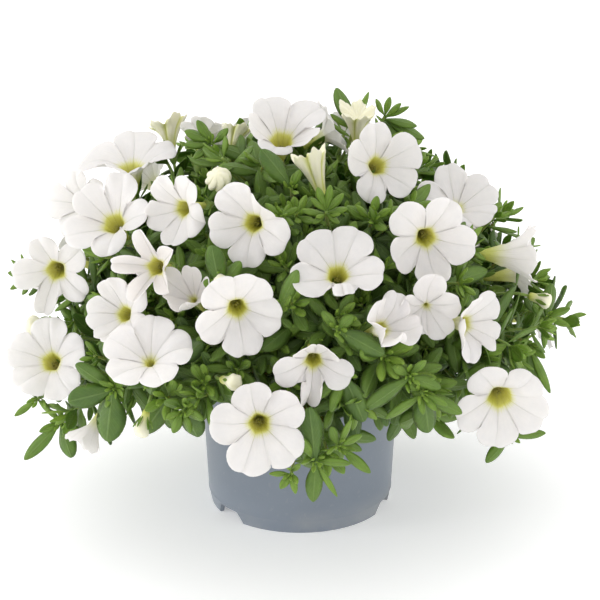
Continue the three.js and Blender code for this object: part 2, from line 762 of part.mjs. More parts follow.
// The leaf number i of a twig (0 is its lowest) as the given try would grow it.
function leafAt(twig, s, i, [shift, swing, share]) {
  const segment = twig.first + twig.leafy[i];
  const side = (i + s + shift) % TWIG.sides;
  const next = (side + 1) % TWIG.sides;
  const [low, high] = [twig.rings[segment], twig.rings[segment + 1]];
  const root = [low.points[side], low.points[next], high.points[next], high.points[side]];
  const age = twig.leafy.length > 1 ? 1 - i / (twig.leafy.length - 1) : 1;
  const length = twig.length * (0.6 + 0.4 * age) * (0.9 + 0.2 * draw(s, i, 3)) * share;
  const leaf = {
    length,
    width: length * (0.29 + 0.07 * draw(s, i, 4)),
    splay: 36 + 34 * age + 8 * draw(s, i, 5),
    back: 0.08 + 0.17 * draw(s, i, 6),
    swing,
  };
  const rows = leafRows(root, low.tangent, leaf);
  return { segment, side, rows, body: leafSolid(root, rows) };
}

const pot = potSolid();
const soil = soilSolid();
[pot, soil].forEach((body) => stand(NO_TWIG, body));
const flowerBodies = flowers.map(flowerSolid);
flowerBodies.forEach((body) => stand(NO_TWIG, body));
const budBodies = OPENING_BUDS.map(openingBudSolid);
budBodies.forEach((body) => stand(NO_TWIG, body));

const stemCurves = STEMS.map(stemCurve);
const stemBodies = stemCurves.map(stemSolid);
stemBodies.forEach((body) => stand(NO_TWIG, body));

const twigs = plans.map((plan, s) => {
  const stem = nearestStem(plan.end);
  const share = 0.55 + 0.44 * draw(s, 0, 1);
  const twig = { ...plan, stem, turn: 2 * Math.PI * draw(s, 0, 2) };
  twig.curve = twigCurve(stemCurves[stem], share, plan.end, plan.facing);
  twig.rings = twigRings(twig);
  twig.first = twig.rings.length - twig.stations.length;
  twig.endRings = endRings(twig);
  stand(s, twigSolid(twig, []));
  return twig;
});

const leafyTwigs = twigs.map((twig, s) => {
  const leaves = [];
  twig.leafy.forEach((_, i) => {
    for (const attempt of TRIES) {
      const leaf = leafAt(twig, s, i, attempt);
      if (leaves.some((l) => l.segment === leaf.segment && l.side === leaf.side)) continue;
      if (!isClear(leaf.body, s)) continue;
      stand(s, leaf.body);
      leaves.push(leaf);
      break;
    }
  });
  return { stem: twig.stem, body: twigSolid(twig, leaves) };
});

const plant = new THREE.Group();
plant.name = "potted_calibrachoa";
plant.add(meshOf("pot", pot, MATERIALS.pot));
plant.add(meshOf("soil", soil, MATERIALS.soil));
stemBodies.forEach((body, i) => {
  const own = leafyTwigs.filter((twig) => twig.stem === i).map((twig) => twig.body);
  plant.add(meshOf(stemName(i), wasm.Manifold.union([body, ...own]).simplify(SLIVER), MATERIALS.green));
});
flowerBodies.forEach((body, i) => {
  plant.add(meshOf(flowerName(i), body, MATERIALS.petal));
});
budBodies.forEach((body, i) => {
  plant.add(meshOf(budName(i), body, MATERIALS.bud));
});

export default plant;
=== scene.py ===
"""A white calibrachoa in a round plastic nursery pot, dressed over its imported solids.

Shapes are worked out in millimetres and put into meshes in metres. The front looks along -Y.
"""

import math

import bpy
import numpy as np
from bpy.props import FloatProperty, FloatVectorProperty, IntProperty, PointerProperty
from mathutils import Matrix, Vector
from mathutils.bvhtree import BVHTree


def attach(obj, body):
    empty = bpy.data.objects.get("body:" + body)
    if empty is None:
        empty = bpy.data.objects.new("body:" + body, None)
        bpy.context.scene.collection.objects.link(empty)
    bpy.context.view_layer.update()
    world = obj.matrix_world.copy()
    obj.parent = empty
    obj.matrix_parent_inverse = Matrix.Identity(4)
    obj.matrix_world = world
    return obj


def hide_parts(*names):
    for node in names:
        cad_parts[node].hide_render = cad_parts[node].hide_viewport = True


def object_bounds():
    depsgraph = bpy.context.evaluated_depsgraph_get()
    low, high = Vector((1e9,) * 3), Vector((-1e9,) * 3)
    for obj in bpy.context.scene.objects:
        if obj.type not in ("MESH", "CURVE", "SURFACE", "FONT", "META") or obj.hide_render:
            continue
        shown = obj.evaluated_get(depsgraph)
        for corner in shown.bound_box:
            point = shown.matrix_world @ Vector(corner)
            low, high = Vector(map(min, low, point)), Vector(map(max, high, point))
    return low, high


bl_info = {
    "name": "Potted calibrachoa",
    "version": (1, 0, 0),
    "blender": (4, 5, 0),
    "location": "View3D > Sidebar > Calibrachoa",
    "description": "Petals, leaves, soil and pot of a white calibrachoa, made over its solids",
    "category": "Add Mesh",
}

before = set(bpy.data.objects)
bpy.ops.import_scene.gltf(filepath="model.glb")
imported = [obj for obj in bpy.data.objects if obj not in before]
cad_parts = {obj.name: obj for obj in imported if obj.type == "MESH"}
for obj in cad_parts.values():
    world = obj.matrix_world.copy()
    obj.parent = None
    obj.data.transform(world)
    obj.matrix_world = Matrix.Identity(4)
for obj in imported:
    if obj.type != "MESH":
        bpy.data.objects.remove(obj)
CAD_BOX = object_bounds()
MM = 0.001
UP = np.array([0.0, 0.0, 1.0])

# ------------ the plant's plan, in mm and degrees

POT = {
    "height": 88.0,
    "rim_radius": 52.5,
    "rim_height": 7.0,
    "rim_lip": 1.6,
    "ridge_radius": 46.8,
    "ridge_height": 7.5,
    "foot_radius": 45.4,
    "wall": 1.6,
    "floor_height": 6.5,
    "floor_thickness": 1.6,
}
NOTCH = {"count": 3, "first": -51.0, "half_width": 12.0, "height": 6.0, "slope": 3.4}
DRAIN = {"count": 5, "ring": 29.0, "radius": 4.5}
SOIL = {"top": 78.0, "crown": 3.0, "clearance": 0.8}
# Main stems start depth under the soil's top. They stand in rings of these radii, by tier, and rise
# straight for these lengths, and arch is how long they keep the fork's direction before it.
STEM = {
    "steps": 6,
    "depth": 9.0,
    "rings": [20.0, 9.0, 0.0],
    "straight": [45.0, 45.0, 30.0],
    "arch": 22.0,
}
# Twigs of the solids: a plain ring after every stride of the curve, whose length is taken as the
# straight one times slack, and a twist in degrees from ring to ring near the end.
TWIG = {"radius": 1.1, "stride": 32.0, "slack": 1.2, "twist": 17.5, "sides": 3}
CALYX = {"length": 4.2, "gap": 0.4}
# The mound of leaves and flowers: its radius, its rise over the centre and the centre's height.
DOME = {"radius": 130.0, "rise": 104.0, "centre": 95.0}
# Thickness of a solid's leaf, and the share of the mound's radius at which a main stem forks.
BLADE = 0.7
FORK = 0.55
# Main stems: yaw and rise of the fork, and the tier whose ring the stem grows from.
STEMS = [(yaw, 8.0, 0) for yaw in (0, 51, 103, 154, 206, 257, 309)]
STEMS += [(yaw, 46.0, 1) for yaw in (30, 150, 270)]
STEMS += [(0, 88.0, 2)]

# Forms of flower: radius between two lobes over the limb's radius and how far that varies, cup of
# the limb over its radius, throat radius over the limb's radius, tube length, two powers that round a
# lobe's rim, and the lobes' usual curl in degrees.
FORM_KEYS = ("sinus", "spread", "cup", "throat", "tube", "round", "curl")
FORMS = {
    "open": (0.66, 0.24, 0.42, 0.18, 15.0, (2.5, 0.5), -22.0),
    "starry": (0.54, 0.08, 0.38, 0.2, 15.0, (2.3, 0.7), -15.0),
    "young": (0.4, 0.08, 0.4, 0.2, 14.0, (1.5, 0.95), 8.0),
    "half": (0.74, 0.08, 0.85, 0.21, 14.0, (3.0, 0.6), 10.0),
}
FORMS = {name: dict(zip(FORM_KEYS, values)) for name, values in FORMS.items()}

# Front flowers in the order of their numbers: form, throat's mouth, yaw, pitch, roll of the upper
# lobe, limb radius, and the flower's own cup where it differs from its form's.
FRONT_FLOWERS = [
    ("open", (-9, -16, 194), 4, 62, 18, 20, 0.58),
    ("open", (36, -38, 189), 23, 27, 2, 20.5, None),
    ("open", (-83, 8, 172), -16, 76, 10, 22.5, None),
    ("open", (-106, 14, 152), -40, 15, 20, 19, None),
    ("open", (-88, -42, 161), -28, 45, -8, 21, 0.52),
    ("open", (-54, -59, 175), -40, 8, 44, 18.5, None),
    ("open", (-21, -80, 175), -18, 13, 36, 20.5, None),
    ("open", (17, -102, 157), 3, 45, 43, 22, None),
    ("open", (57.5, -80.5, 168.5), 10, 5, 42, 22, None),
    ("open", (76, -14, 159), 30, 50, 0, 20, None),
    ("half", (96, -48, 148), 84, 0, 10, 17, None),
    ("starry", (-118, -30, 134), -8, 5, 21, 20.5, None),
    ("young", (-66, -84, 155), -26, 18, 19, 18, None),
    ("open", (-81, -80, 130), -38, 26, 30, 18, None),
    ("half", (-48.5, -86, 139), -30, 40, 0, 12, None),
    ("open", (-120, -46, 92), -16, 34, 6, 22, None),
    ("open", (-68, -112, 118), -15, 55, 2, 21.5, 0.52),
    ("open", (-28.5, -112, 146), 8, -2, 43, 21, None),
    ("open", (6, -118, 123), 5, -4, 30, 18, None),
    ("half", (36, -112, 135), 35, 28, 30, 14.5, 0.6),
    ("half", (57.5, -98, 142), 4, -10, 0, 13, 0.6),
    ("open", (74.5, -97, 132), 46, 6, 18, 18, 0.52),
    ("open", (93, -92, 94), 6, -8, 30, 23, None),
    ("open", (-18.5, -127, 95.5), 2, 14, 15, 23, None),
    ("open", (-48, 22, 184), 170, 40, 0, 13, None),
    ("half", (-98, -74, 71), -50, -48, 0, 12, None),
    ("open", (104, -20, 128), 100, 5, 0, 13, None),
    ("open", (12, 18, 187), 95, 28, 0, 17, None),
]

# Far flowers: yaw, rise, share of the mound's radius.
FAR_FLOWERS = [
    (104, -4, 0.94),
    (122, 22, 0.84),
    (134, 9, 1.0),
    (141, -14, 1.0),
    (148, 60, 0.88),
    (158, 36, 1.0),
    (163, 3, 1.0),
    (182, -12, 1.03),
    (185, 22, 1.0),
    (202, 46, 0.95),
    (206, 4, 1.0),
    (224, 28, 1.0),
    (234, -10, 1.0),
    (248, 10, 1.0),
]

# Opening buds: place, yaw, pitch, length, radius, and how far the limb has opened. The one at 0 is
# still rolled shut in a swirl.
OPENING_BUDS = [
    ((-67, 40, 188), -160, 60, 17, 7, 0.9),
    ((28, 12, 202), -10, 84, 20, 7.5, 0.25),
    ((4, -48, 198), -107, 71, 24, 7, 0.35),
    ((-40, -44, 187), -30, 50, 13, 6, 0.0),
    ((-31, 14, 193), 150, 68, 14, 6, 0.6),
]
# Closed green buds: place, yaw, pitch, length, radius.
BUDS = [
    ((-74, -108, 80), -30, -60, 13, 3.6),
    ((121, -40, 121), 70, -10, 11, 3.8),
    ((-28, -124, 114), 40, 10, 12, 3.8),
    ((-36, -100, 154), 0, 20, 9, 3.2),
    ((-136, -12, 99), -100, 12, 17, 5),
    ((-4, 112, 150), 180, 30, 14, 4),
    ((96, 76, 118), 130, 24, 13, 4),
]

# Leafy tips: place, yaw, pitch, leaves of the solid, length of the longest.
TIPS = [
    ((-40, -18, 190), -50, 48, 6, 21),
    ((-17, -30, 192), 20, 60, 5, 24),
    ((-1, -70, 178), 10, 40, 5, 17),
    ((34, -70, 176), 5, 38, 6, 20),
    ((46, 16, 192), 60, 60, 6, 19),
    ((26, 22, 190), -20, 78, 3, 25),
    ((-72, 32, 179), -120, 55, 5, 17),
    ((-32, -90, 161), -20, 30, 5, 18),
    ((-4, -108, 148), -5, 40, 5, 20),
    ((20, -112, 141), 20, 20, 6, 19),
    ((40, -112, 122), 15, 20, 5, 26),
    ((-62, -110, 99), -10, 10, 6, 23),
    ((-92, -88, 98), -35, 15, 6, 23),
    ((-116, -50, 62), -60, -35, 6, 25),
    ((-44, -116, 110), 0, 20, 6, 18),
    ((13, -126, 77), 8, -15, 6, 24),
    ((28, -120, 96), 15, -30, 4, 21),
    ((52, -114, 111), 25, 10, 6, 23),
    ((64, -106, 96), 30, -20, 4, 20),
    ((122, -46, 111), 80, 8, 6, 20),
    ((106, -66, 104), 70, -30, 5, 25),
    ((96, -70, 62), 50, -40, 4, 18),
    ((84, -54, 157), 60, 30, 5, 20),
    ((-130, 4, 118), -90, 20, 6, 18),
    ((-96, -70, 131), -50, 10, 6, 19),
    ((78, -80, 146), 40, 20, 3, 20),
    ((-128, 30, 80), -105, -20, 5, 22),
    ((140, 8, 92), 92, -15, 6, 22),
]
# Leafy tips of the far side: yaw and rise over the mound.
FAR_TIPS = [
    (112, -24), (124, -10), (152, -26), (172, -28), (196, -26), (218, -26), (250, -24),
    (98, 10), (120, 4), (146, 0), (172, 8), (194, -4), (220, 8), (264, 6),
    (150, 22), (126, 34), (142, 28), (172, 44), (204, 28), (240, 30), (120, 58), (176, 70), (230, 54),
]
# Shoots with leaves of their own places: the shoot's tip, yaw, pitch, and for each leaf how far its
# tip is to the right of the shoot's, over it and before it, and how wide the leaf is.
SHOWN_SHOOTS = [
    ((-118, -39, 57), -15, 5, [
        (-18, -18, 4, 6.5), (6, -15, 8, 9.5), (-10, -3, 4, 4), (12, -6, 2, 5), (-7, 9, 2, 3.5),
        (7, 9, 2, 3.5), (-1, 11, 1, 3.5),
    ]),
    ((-129, -40, 70), -25, 5, [
        (-11, -8, 2, 3.5), (7, -5, 4, 4), (-5, 7, 0, 4), (5, 6, 2, 4),
    ]),
    ((-87, -92, 97), -20, 0, [
        (-3, -24, 5, 15), (-21, -5, 2, 12), (-17, 13, 0, 9), (-6, 6, 4, 4), (5, 6, 4, 4), (5, -1, 5, 4),
        (-1, 9, 3, 4),
    ]),
    ((-54, -115, 96), -18, -10, [
        (-7, -2, 4, 4), (-4, -9, 4, 5), (4, -9, 4, 4.5), (10, -3, 3, 6), (7, 6, 0, 7), (-8, 5, 0, 7),
        (2, 8, 3, 4), (7, -15, -5, 12),
    ]),
    ((50, -117, 114), 15, 5, [
        (-21, -15, 3, 8.5), (14, -6, -1, 7), (-8, 5, 0, 5), (7, 8, 0, 4.5),
    ]),
    ((56, -116, 105), 22, 0, [
        (-17, -11, 3, 5.5), (3, -20, -2, 12), (18, -10, -1, 7), (11, -4, 4, 4), (6, -6, 5, 3.5),
        (0, -8, 5, 4), (-6, 5, 0, 5), (5, 8, 0, 5),
    ]),
    ((7, -131, 78), 5, 5, [
        (-3, 26, -2, 11), (-1, -19, 2, 8), (10, -17, 1, 3), (16, 1, 4, 4.5), (-7, 14, 4, 4.5),
    ]),
    ((18, -128, 84), 15, 10, [
        (14, -11, 4, 5), (10, 7, 2, 4), (5, 14, 1, 3.5), (-4, 10, 0, 5),
    ]),
    ((-4, -131, 72), -5, 0, [
        (-10, 1, 2, 3), (-5, -6, 3, 4), (2, -9, 2, 3.5), (4, 6, 2, 3),
    ]),
    ((111, -40, 99), 15, 0, [
        (11, -24, 4, 4.5), (5, -26, 0, 8), (8, -6, 3, 4), (-4, -13, 3, 5),
    ]),
    ((121, -25, 107), 20, 10, [
        (2, 17, -3, 8), (11, 6, 2, 4.5), (11, -3, 3, 3.5), (-1, -15, 3, 4), (-7, 7, 0, 5),
        (-9, -3, 2, 4),
    ]),
    ((101, -60, 59), 8, 0, [
        (-11, -12, 4, 6.5), (18, 1, -2, 5.5),
    ]),
    ((26, 14, 192), 5, 55, [
        (-8, 18, -10, 8), (8, 16, -10, 3.5), (-11, 7, -2, 4),
    ]),
    ((42, 22, 196), 20, 50, [
        (-4.5, 9, 0, 3.5), (2.5, 10, 0, 3.5), (8, 7, 1, 3.5), (12, 5, 0, 3.5), (16, -5, 0, 6),
        (20, -12, -2, 7), (2, 3, 4, 3.5), (-4, 1, 4, 4), (13, -14, 1, 8), (5, -12, 3, 8),
    ]),
    ((20, -119, 115), 5, 0, [
        (9, -21, 3, 11), (-6, -16, 4, 6), (-12, -10, 2, 6),
    ]),
    ((-10, -111, 143), -5, 25, [
        (9, 21, 2, 7), (-9, 6, 2, 5), (6, 9, 2, 3.5),
    ]),
    ((-36, -96, 149), -15, 25, [
        (-4, 21, 1, 10), (9, 13, 0, 7), (-8, 4, 2, 5),
    ]),
    ((-4, -55, 184), 0, 45, [
        (-14, 18, -1, 10), (4, 9, 1, 4),
    ]),
    ((17, -115, 136), 8, 10, [
        (21, -11, 2, 10), (7, 7, 0, 6), (-7, 9, 0, 5),
    ]),
    ((12, -75, 179), 0, 40, [
        (-7, 7, 2, 3.5), (-4, 12, 1, 4), (2, 13, 1, 4), (8, 9, 1, 4), (10, 2, 2, 4), (6, -5, 3, 3.5),
        (-6, -5, 3, 3.5), (-11, 1, 2, 4),
    ]),
    ((-9, -78, 178), -5, 35, [
        (-7, 6, 1, 3.5), (-6, -3, 3, 3.5), (0, -8, 3, 3.5), (6, -4, 2, 3.5), (8, 4, 1, 3.5),
    ]),
    ((-43, -4, 191), -15, 50, [
        (-13, 5, -1, 6), (-7, 10, -2, 5), (-13, -1, 2, 6), (-9, -8, 3, 5), (6, -9, 3, 5), (8, 6, -2, 5),
        (20, -9, 0, 8),
    ]),
    ((-112, -20, 103), -25, 10, [
        (-8, -3, 3, 5), (-5, 8, 1, 5), (3, 10, 2, 4.5), (9, 1, 3, 5), (2, -9, 3, 5), (-12, -9, 0, 6),
        (11, 9, -2, 5),
    ]),
    ((-137, 4, 118), -50, 10, [
        (-9, 2, 0, 4), (-7, 9, 0, 4), (-2, 12, 0, 4), (3, 8, 1, 4), (-8, -6, 2, 4), (-2, -9, 2, 5),
        (4, -5, 3, 4),
    ]),
]
# The last rings of a twig, by their distance back from its end.
FLOWER_STATIONS = [9.5, 7.0, 0.0]
BUD_STATIONS = [9.0, 6.5, 0.0]
# Places that a solid's leaf may have been moved to: shift to another side of the twig, swing in
# degrees, share of the length. A leaf is found where its tip is this near to a corner of the solid.
TIP_MATCH = 0.1
LEAF_TRIES = [
    (0, 0, 1.0),
    (0, 22, 1.0),
    (0, -22, 1.0),
    (1, 0, 0.95),
    (2, 0, 0.95),
    (1, 24, 0.85),
    (2, -24, 0.85),
    (0, 0, 0.7),
]

# Lobes that differ from their flower's others, by the flower's number and the lobe's angle
# anticlockwise from the right as one looks into the flower. reach and width are shares. The other
# four are degrees: curl turns the lobe's end towards the viewer (or back, if negative), lift does so
# with its root, shift turns it sideways, and fold shuts it along its middle.
OWN_LOBES = {
    1: {108: {"reach": 1.1, "curl": -30}, 36: {"reach": 1.2, "curl": -20}, 180: {"curl": 25},
        324: {"reach": 1.1, "curl": 20}},
    2: {20: {"reach": 1.08, "curl": -30}, 92: {"reach": 1.0, "width": 0.92, "curl": -15},
        164: {"curl": 20, "fold": 12}, 236: {"width": 0.85, "curl": -40, "fold": 20}, 308: {"curl": -30}},
    3: {244: {"reach": 0.6, "width": 0.8, "lift": 0, "curl": -20}, 100: {"reach": 1.12},
        172: {"reach": 1.2, "shift": 22, "lift": -12, "curl": -34},
        316: {"reach": 0.6, "width": 0.8, "lift": 0, "curl": -20}, 28: {"reach": 1.05, "curl": -30}},
    4: {110: {"curl": -30}, 182: {"reach": 1.2, "curl": -25, "fold": 10}, 254: {"curl": -30}},
    5: {82: {"reach": 1.12, "curl": -20, "shift": 8}, 154: {"reach": 1.06, "curl": -15},
        226: {"reach": 1.12, "curl": -30, "shift": -8}, 298: {"reach": 0.96, "curl": -50, "shift": -10},
        10: {"reach": 1.08, "curl": -15, "lift": 4}},
    6: {350: {"curl": -60, "fold": 30}, 190: {"curl": 10}, 270: {"curl": 20}},
    7: {20: {"reach": 0.9, "lift": 25, "curl": 45, "fold": 10}, 160: {"reach": 1.03, "curl": -25, "shift": 8},
        270: {"reach": 1.02, "curl": -12}, 90: {"curl": 15}},
    8: {285: {"reach": 0.84, "width": 0.66, "lift": 38, "curl": -70, "fold": 15}, 225: {"shift": -10}},
    9: {180: {"curl": 25}, 270: {"curl": 35}},
    10: {90: {"reach": 1.1, "curl": 0}, 18: {"reach": 1.12, "curl": -20, "fold": 20},
         162: {"reach": 1.25, "curl": -15}, 234: {"lift": 20}, 306: {"lift": 20}},
    11: {60: {"curl": -35}, 300: {"curl": -30}, 180: {"curl": 15}},
    12: {240: {"reach": 1.06, "width": 0.62, "fold": 40}, 310: {"width": 0.9}},
    13: {k: {"reach": 1.15, "width": 0.85, "fold": 60, "lift": 12} for k in (30, 100, 170, 240, 310)},
    14: {240: {"curl": 30}, 100: {"curl": 20}},
    15: {90: {"reach": 1.25, "curl": 20, "fold": 30}, 162: {"reach": 1.45, "curl": -10, "fold": 30},
         234: {"reach": 1.3, "curl": 60, "lift": 10}, 306: {"reach": 1.25, "curl": 70, "fold": 20},
         18: {"reach": 1.35, "curl": 10, "fold": 40}},
    16: {270: {"lift": 20, "curl": -25}, 150: {"curl": -25}, 30: {"curl": -10}},
    17: {285: {"reach": 0.95, "curl": 150}, 225: {"curl": -20}, 340: {"curl": -20}},
    18: {200: {"curl": -15}, 270: {"curl": -20, "lift": 12}, 20: {"curl": -10}},
    19: {264: {"reach": 1.2, "width": 0.5, "curl": -50, "fold": 60},
         192: {"reach": 1.08, "curl": -25, "fold": 10}, 336: {"reach": 1.05, "curl": -30, "fold": 15},
         48: {"reach": 0.85, "curl": 60}, 120: {"reach": 0.85, "curl": 40}},
    20: {120: {"reach": 1.08, "shift": -18, "lift": 15, "curl": 0, "fold": 0},
         48: {"reach": 1.2, "shift": 10, "curl": -10, "fold": 0},
         336: {"reach": 1.2, "shift": 14, "curl": 10, "fold": 0},
         264: {"reach": 1.05, "shift": 32, "lift": 30, "curl": 55, "fold": 0},
         192: {"reach": 0.5, "lift": 25, "curl": 0}},
    21: {90: {"reach": 1.3, "shift": -12, "lift": -15, "curl": -25, "fold": 25},
         162: {"reach": 1.15, "shift": -20, "lift": 5, "curl": -10, "fold": 40},
         18: {"reach": 1.2, "curl": -25, "fold": 10}, 306: {"reach": 1.25, "curl": -25, "fold": 20},
         234: {"reach": 0.95, "shift": 30, "lift": 15, "curl": -20}},
    22: {180: {"curl": 35, "fold": 30}, 110: {"curl": 15}, 350: {"fold": 45, "width": 0.85}},
    23: {60: {"curl": -80, "lift": 20}, 120: {"curl": -20}, 200: {"curl": -10}},
    24: {120: {"reach": 0.92, "curl": -10}, 30: {"curl": -8}, 250: {"reach": 1.03}},
    28: {90: {"curl": -30}},
}

# Gaps between two lobes that differ, by the flower's number and the gap's angle: radius at the
# bottom of the gap over the limb's radius.
OWN_GAPS = {
    2: {56: 0.42, 128: 0.66, 200: 0.6, 272: 0.56, 344: 0.8},
    7: {150: 0.62, 215: 0.6, 30: 0.66},
    8: {235: 0.4, 315: 0.58, 105: 0.78},
    10: {90: 0.56, 190: 0.68, 240: 0.74},
    18: {190: 0.56, 260: 0.66},
    24: {110: 0.6, 180: 0.52, 330: 0.58},
    4: {k: 0.6 for k in (2, 74, 146, 218, 290)},
    5: {46: 0.5, 118: 0.62, 190: 0.52, 262: 0.6, 334: 0.5},
    9: {100: 0.5, 20: 0.56, 170: 0.6, 240: 0.55, 310: 0.52},
    19: {k: 0.5 for k in (84, 156, 228, 300, 12)},
    16: {90: 0.6},
}

# Throats that differ from their form's, by the flower's number: radius over the limb's radius.
OWN_THROATS = {
    1: 0.24, 3: 0.22, 5: 0.22, 10: 0.1, 11: 0.29, 15: 0.09, 17: 0.08, 21: 0.06, 23: 0.22, 27: 0.27,
}


def draw(a, b, c):
    """A repeatable draw from 0 to 1 for three whole numbers, by mixing their bits: those of a piece,
    of a part of it and of what is drawn."""
    mask = 0xFFFFFFFF
    h = (a * 374761393 + b * 668265263 + c * 2246822519) & mask
    h = ((h ^ (h >> 15)) * 2246822519) & mask
    h = ((h ^ (h >> 13)) * 3266489917) & mask
    return (h ^ (h >> 16)) / 4294967296


def heading(yaw, pitch):
    """Unit vector of a yaw from the front and a pitch over the horizon."""
    y, p = math.radians(yaw), math.radians(pitch)
    return np.array([math.sin(y) * math.cos(p), -math.cos(y) * math.cos(p), math.sin(p)])


def on_mound(yaw, rise, share):
    """Point of the mound: its centre plus the heading stretched by the mound's radius and rise."""
    d = heading(yaw, rise) * share
    return np.array([d[0] * DOME["radius"], d[1] * DOME["radius"], DOME["centre"] + d[2] * DOME["rise"]])


def unit(vectors):
    """Vectors along the last axis, divided by their lengths."""
    return vectors / np.linalg.norm(vectors, axis=-1, keepdims=True)


def crosswise(axes):
    """Two unit directions across each axis, square to each other."""
    helper = np.where(np.abs(axes[..., 2:]) > 0.9, [1.0, 0.0, 0.0], UP)
    x = unit(np.cross(helper, axes))
    return x, np.cross(axes, x)


def ring_angles(count):
    """Angles of evenly spaced places round a circle, from 0 on."""
    return 2 * math.pi * np.arange(count) / count


def flower_list():
    """Every flower as a dictionary, the front ones first."""
    names = ("form", "at", "yaw", "pitch", "roll", "radius", "cup")
    flowers = [dict(zip(names, row)) for row in FRONT_FLOWERS]
    for i, (yaw, rise, share) in enumerate(FAR_FLOWERS):
        flowers.append(
            {
                "form": "starry" if i % 5 == 3 else "open",
                "at": on_mound(yaw, rise, 0.97 * share),
                "yaw": yaw + 14 * math.sin(i * 2.4),
                "pitch": 14 + 0.6 * rise,
                "roll": 25 * i,
                "radius": 18.5 + 2.5 * math.cos(i * 1.7),
                "cup": None,
            }
        )
    for i, flower in enumerate(flowers):
        flower["number"] = i + 1
        flower["at"] = np.array(flower["at"], float)
        flower["facing"] = heading(flower["yaw"], flower["pitch"])
        flower["cup"] = flower["radius"] * (flower["cup"] or FORMS[flower["form"]]["cup"])
    return flowers


def bezier(points, t):
    """Cubic curve: the four points weighted by (1-t)^3, 3t(1-t)^2, 3t^2(1-t) and t^3."""
    t = np.asarray(t, float)[..., None]
    a, b, c, d = points
    return a * (1 - t) ** 3 + 3 * b * t * (1 - t) ** 2 + 3 * c * t * t * (1 - t) + d * t**3


def bezier_tangent(points, t):
    """Unit direction of the cubic curve, from its derivative."""
    t = np.asarray(t, float)[..., None]
    a, b, c, d = points
    return unit((b - a) * (1 - t) ** 2 + 2 * (c - b) * t * (1 - t) + (d - c) * t * t)


def spaced_points(points, count):
    """Points at equal lengths along the cubic curve, measured over 200 chords."""
    t = np.linspace(0, 1, 201)
    chords = np.linalg.norm(np.diff(bezier(points, t), axis=0), axis=1)
    run = np.concatenate([[0], np.cumsum(chords)])
    return bezier(points, np.interp(np.linspace(0, run[-1], count + 1), run, t))


def stem_curve(yaw, rise, tier):
    """A main stem goes straight up out of the soil and arches over to its fork."""
    foot = heading(yaw, 0) * STEM["rings"][tier]
    foot[2] = SOIL["top"] - STEM["depth"]
    fork = on_mound(yaw, rise, FORK)
    lift = foot + UP * STEM["straight"][tier]
    return np.array([foot, lift, fork - heading(yaw, rise) * STEM["arch"], fork])


def stem_lines():
    """Every main stem as points at equal lengths along its curve."""
    return [spaced_points(stem_curve(*stem), STEM["steps"]) for stem in STEMS]


def twig_curve(stem_points, share, end, facing):
    """A twig leaves its main stem part of the way along and ends in the direction it faces."""
    steps = STEM["steps"]
    k = min(int(share * steps), steps - 1)
    start = stem_points[k] + (stem_points[k + 1] - stem_points[k]) * (share * steps - k)
    along = unit(stem_points[k + 1] - stem_points[k])
    span = np.linalg.norm(end - start)
    return np.array([start, start + along * 0.3 * span, end - facing * 0.4 * span, end])


def nearest_stem(point):
    """Number of the main stem whose fork lies most nearly in the direction of a point."""
    stretch = np.array([DOME["radius"], DOME["radius"], DOME["rise"]])
    middle = UP * DOME["centre"]
    want = unit((point - middle) / stretch)
    forks = np.array([unit((on_mound(yaw, rise, 1) - middle) / stretch) for yaw, rise, _ in STEMS])
    return int(np.argmax(forks @ want))


def plan(kind, end, facing, stations, leafy, length, **more):
    """One twig: what it ends in, where and which way, its last rings, which of them bear a leaf of
    the solid, and the length of its leaves."""
    return {
        "kind": kind,
        "end": end,
        "facing": facing,
        "stations": stations,
        "leafy": leafy,
        "length": length,
        **more,
    }


def twig_plans():
    """Every twig of the solids, in their order."""
    plans = []
    for i, flower in enumerate(flower_list()):
        back = FORMS[flower["form"]]["tube"] + CALYX["gap"] + CALYX["length"]
        end = flower["at"] - flower["facing"] * back
        stations, leafy = ([0.0], []) if i % 2 else (FLOWER_STATIONS, [0])
        plans.append(plan("flower", end, flower["facing"], stations, leafy, 19.0))
    for at, yaw, pitch, length, _, _ in OPENING_BUDS:
        facing = heading(yaw, pitch)
        back = length + CALYX["gap"] + CALYX["length"]
        plans.append(plan("opening", np.array(at, float) - facing * back, facing, [0.0], [], 16.0))
    for at, yaw, pitch, length, radius in BUDS:
        facing = heading(yaw, pitch)
        end = np.array(at, float) - facing * length
        plans.append(plan("bud", end, facing, BUD_STATIONS, [0], 16.0, bud=(length, radius)))
    tips = list(TIPS)
    for i, (yaw, rise) in enumerate(FAR_TIPS):
        tips.append((on_mound(yaw, rise, 0.98), yaw, 8 + 0.6 * rise, 4, 20 + i % 4))
    for at, yaw, pitch, leaves, length in tips:
        facing = heading(yaw, pitch)
        stations = [0.0]
        for i in range(leaves):
            stations.insert(0, stations[0] + 1.7 + 0.3 * i)
        end = np.array(at, float) - facing * 5
        plans.append(plan("tip", end, facing, stations, list(range(leaves)), float(length)))
    return plans


def grown_twigs():
    """The solids' twigs with their curves, and the rings that their leaves grow from."""
    stem_points = stem_lines()
    twigs = twig_plans()
    for s, twig in enumerate(twigs):
        twig["stem"] = nearest_stem(twig["end"])
        share = 0.55 + 0.44 * draw(s, 0, 1)
        twig["turn"] = 2 * math.pi * draw(s, 0, 2)
        twig["curve"] = twig_curve(stem_points[twig["stem"]], share, twig["end"], twig["facing"])
        add_rings(twig)
    return twigs


def first_normal(tangent):
    """A direction across the start of a twig: level, or along X where the twig starts upright."""
    normal = np.cross(tangent, UP)
    return normal if np.linalg.norm(normal) >= 0.2 else np.array([1.0, 0.0, 0.0])


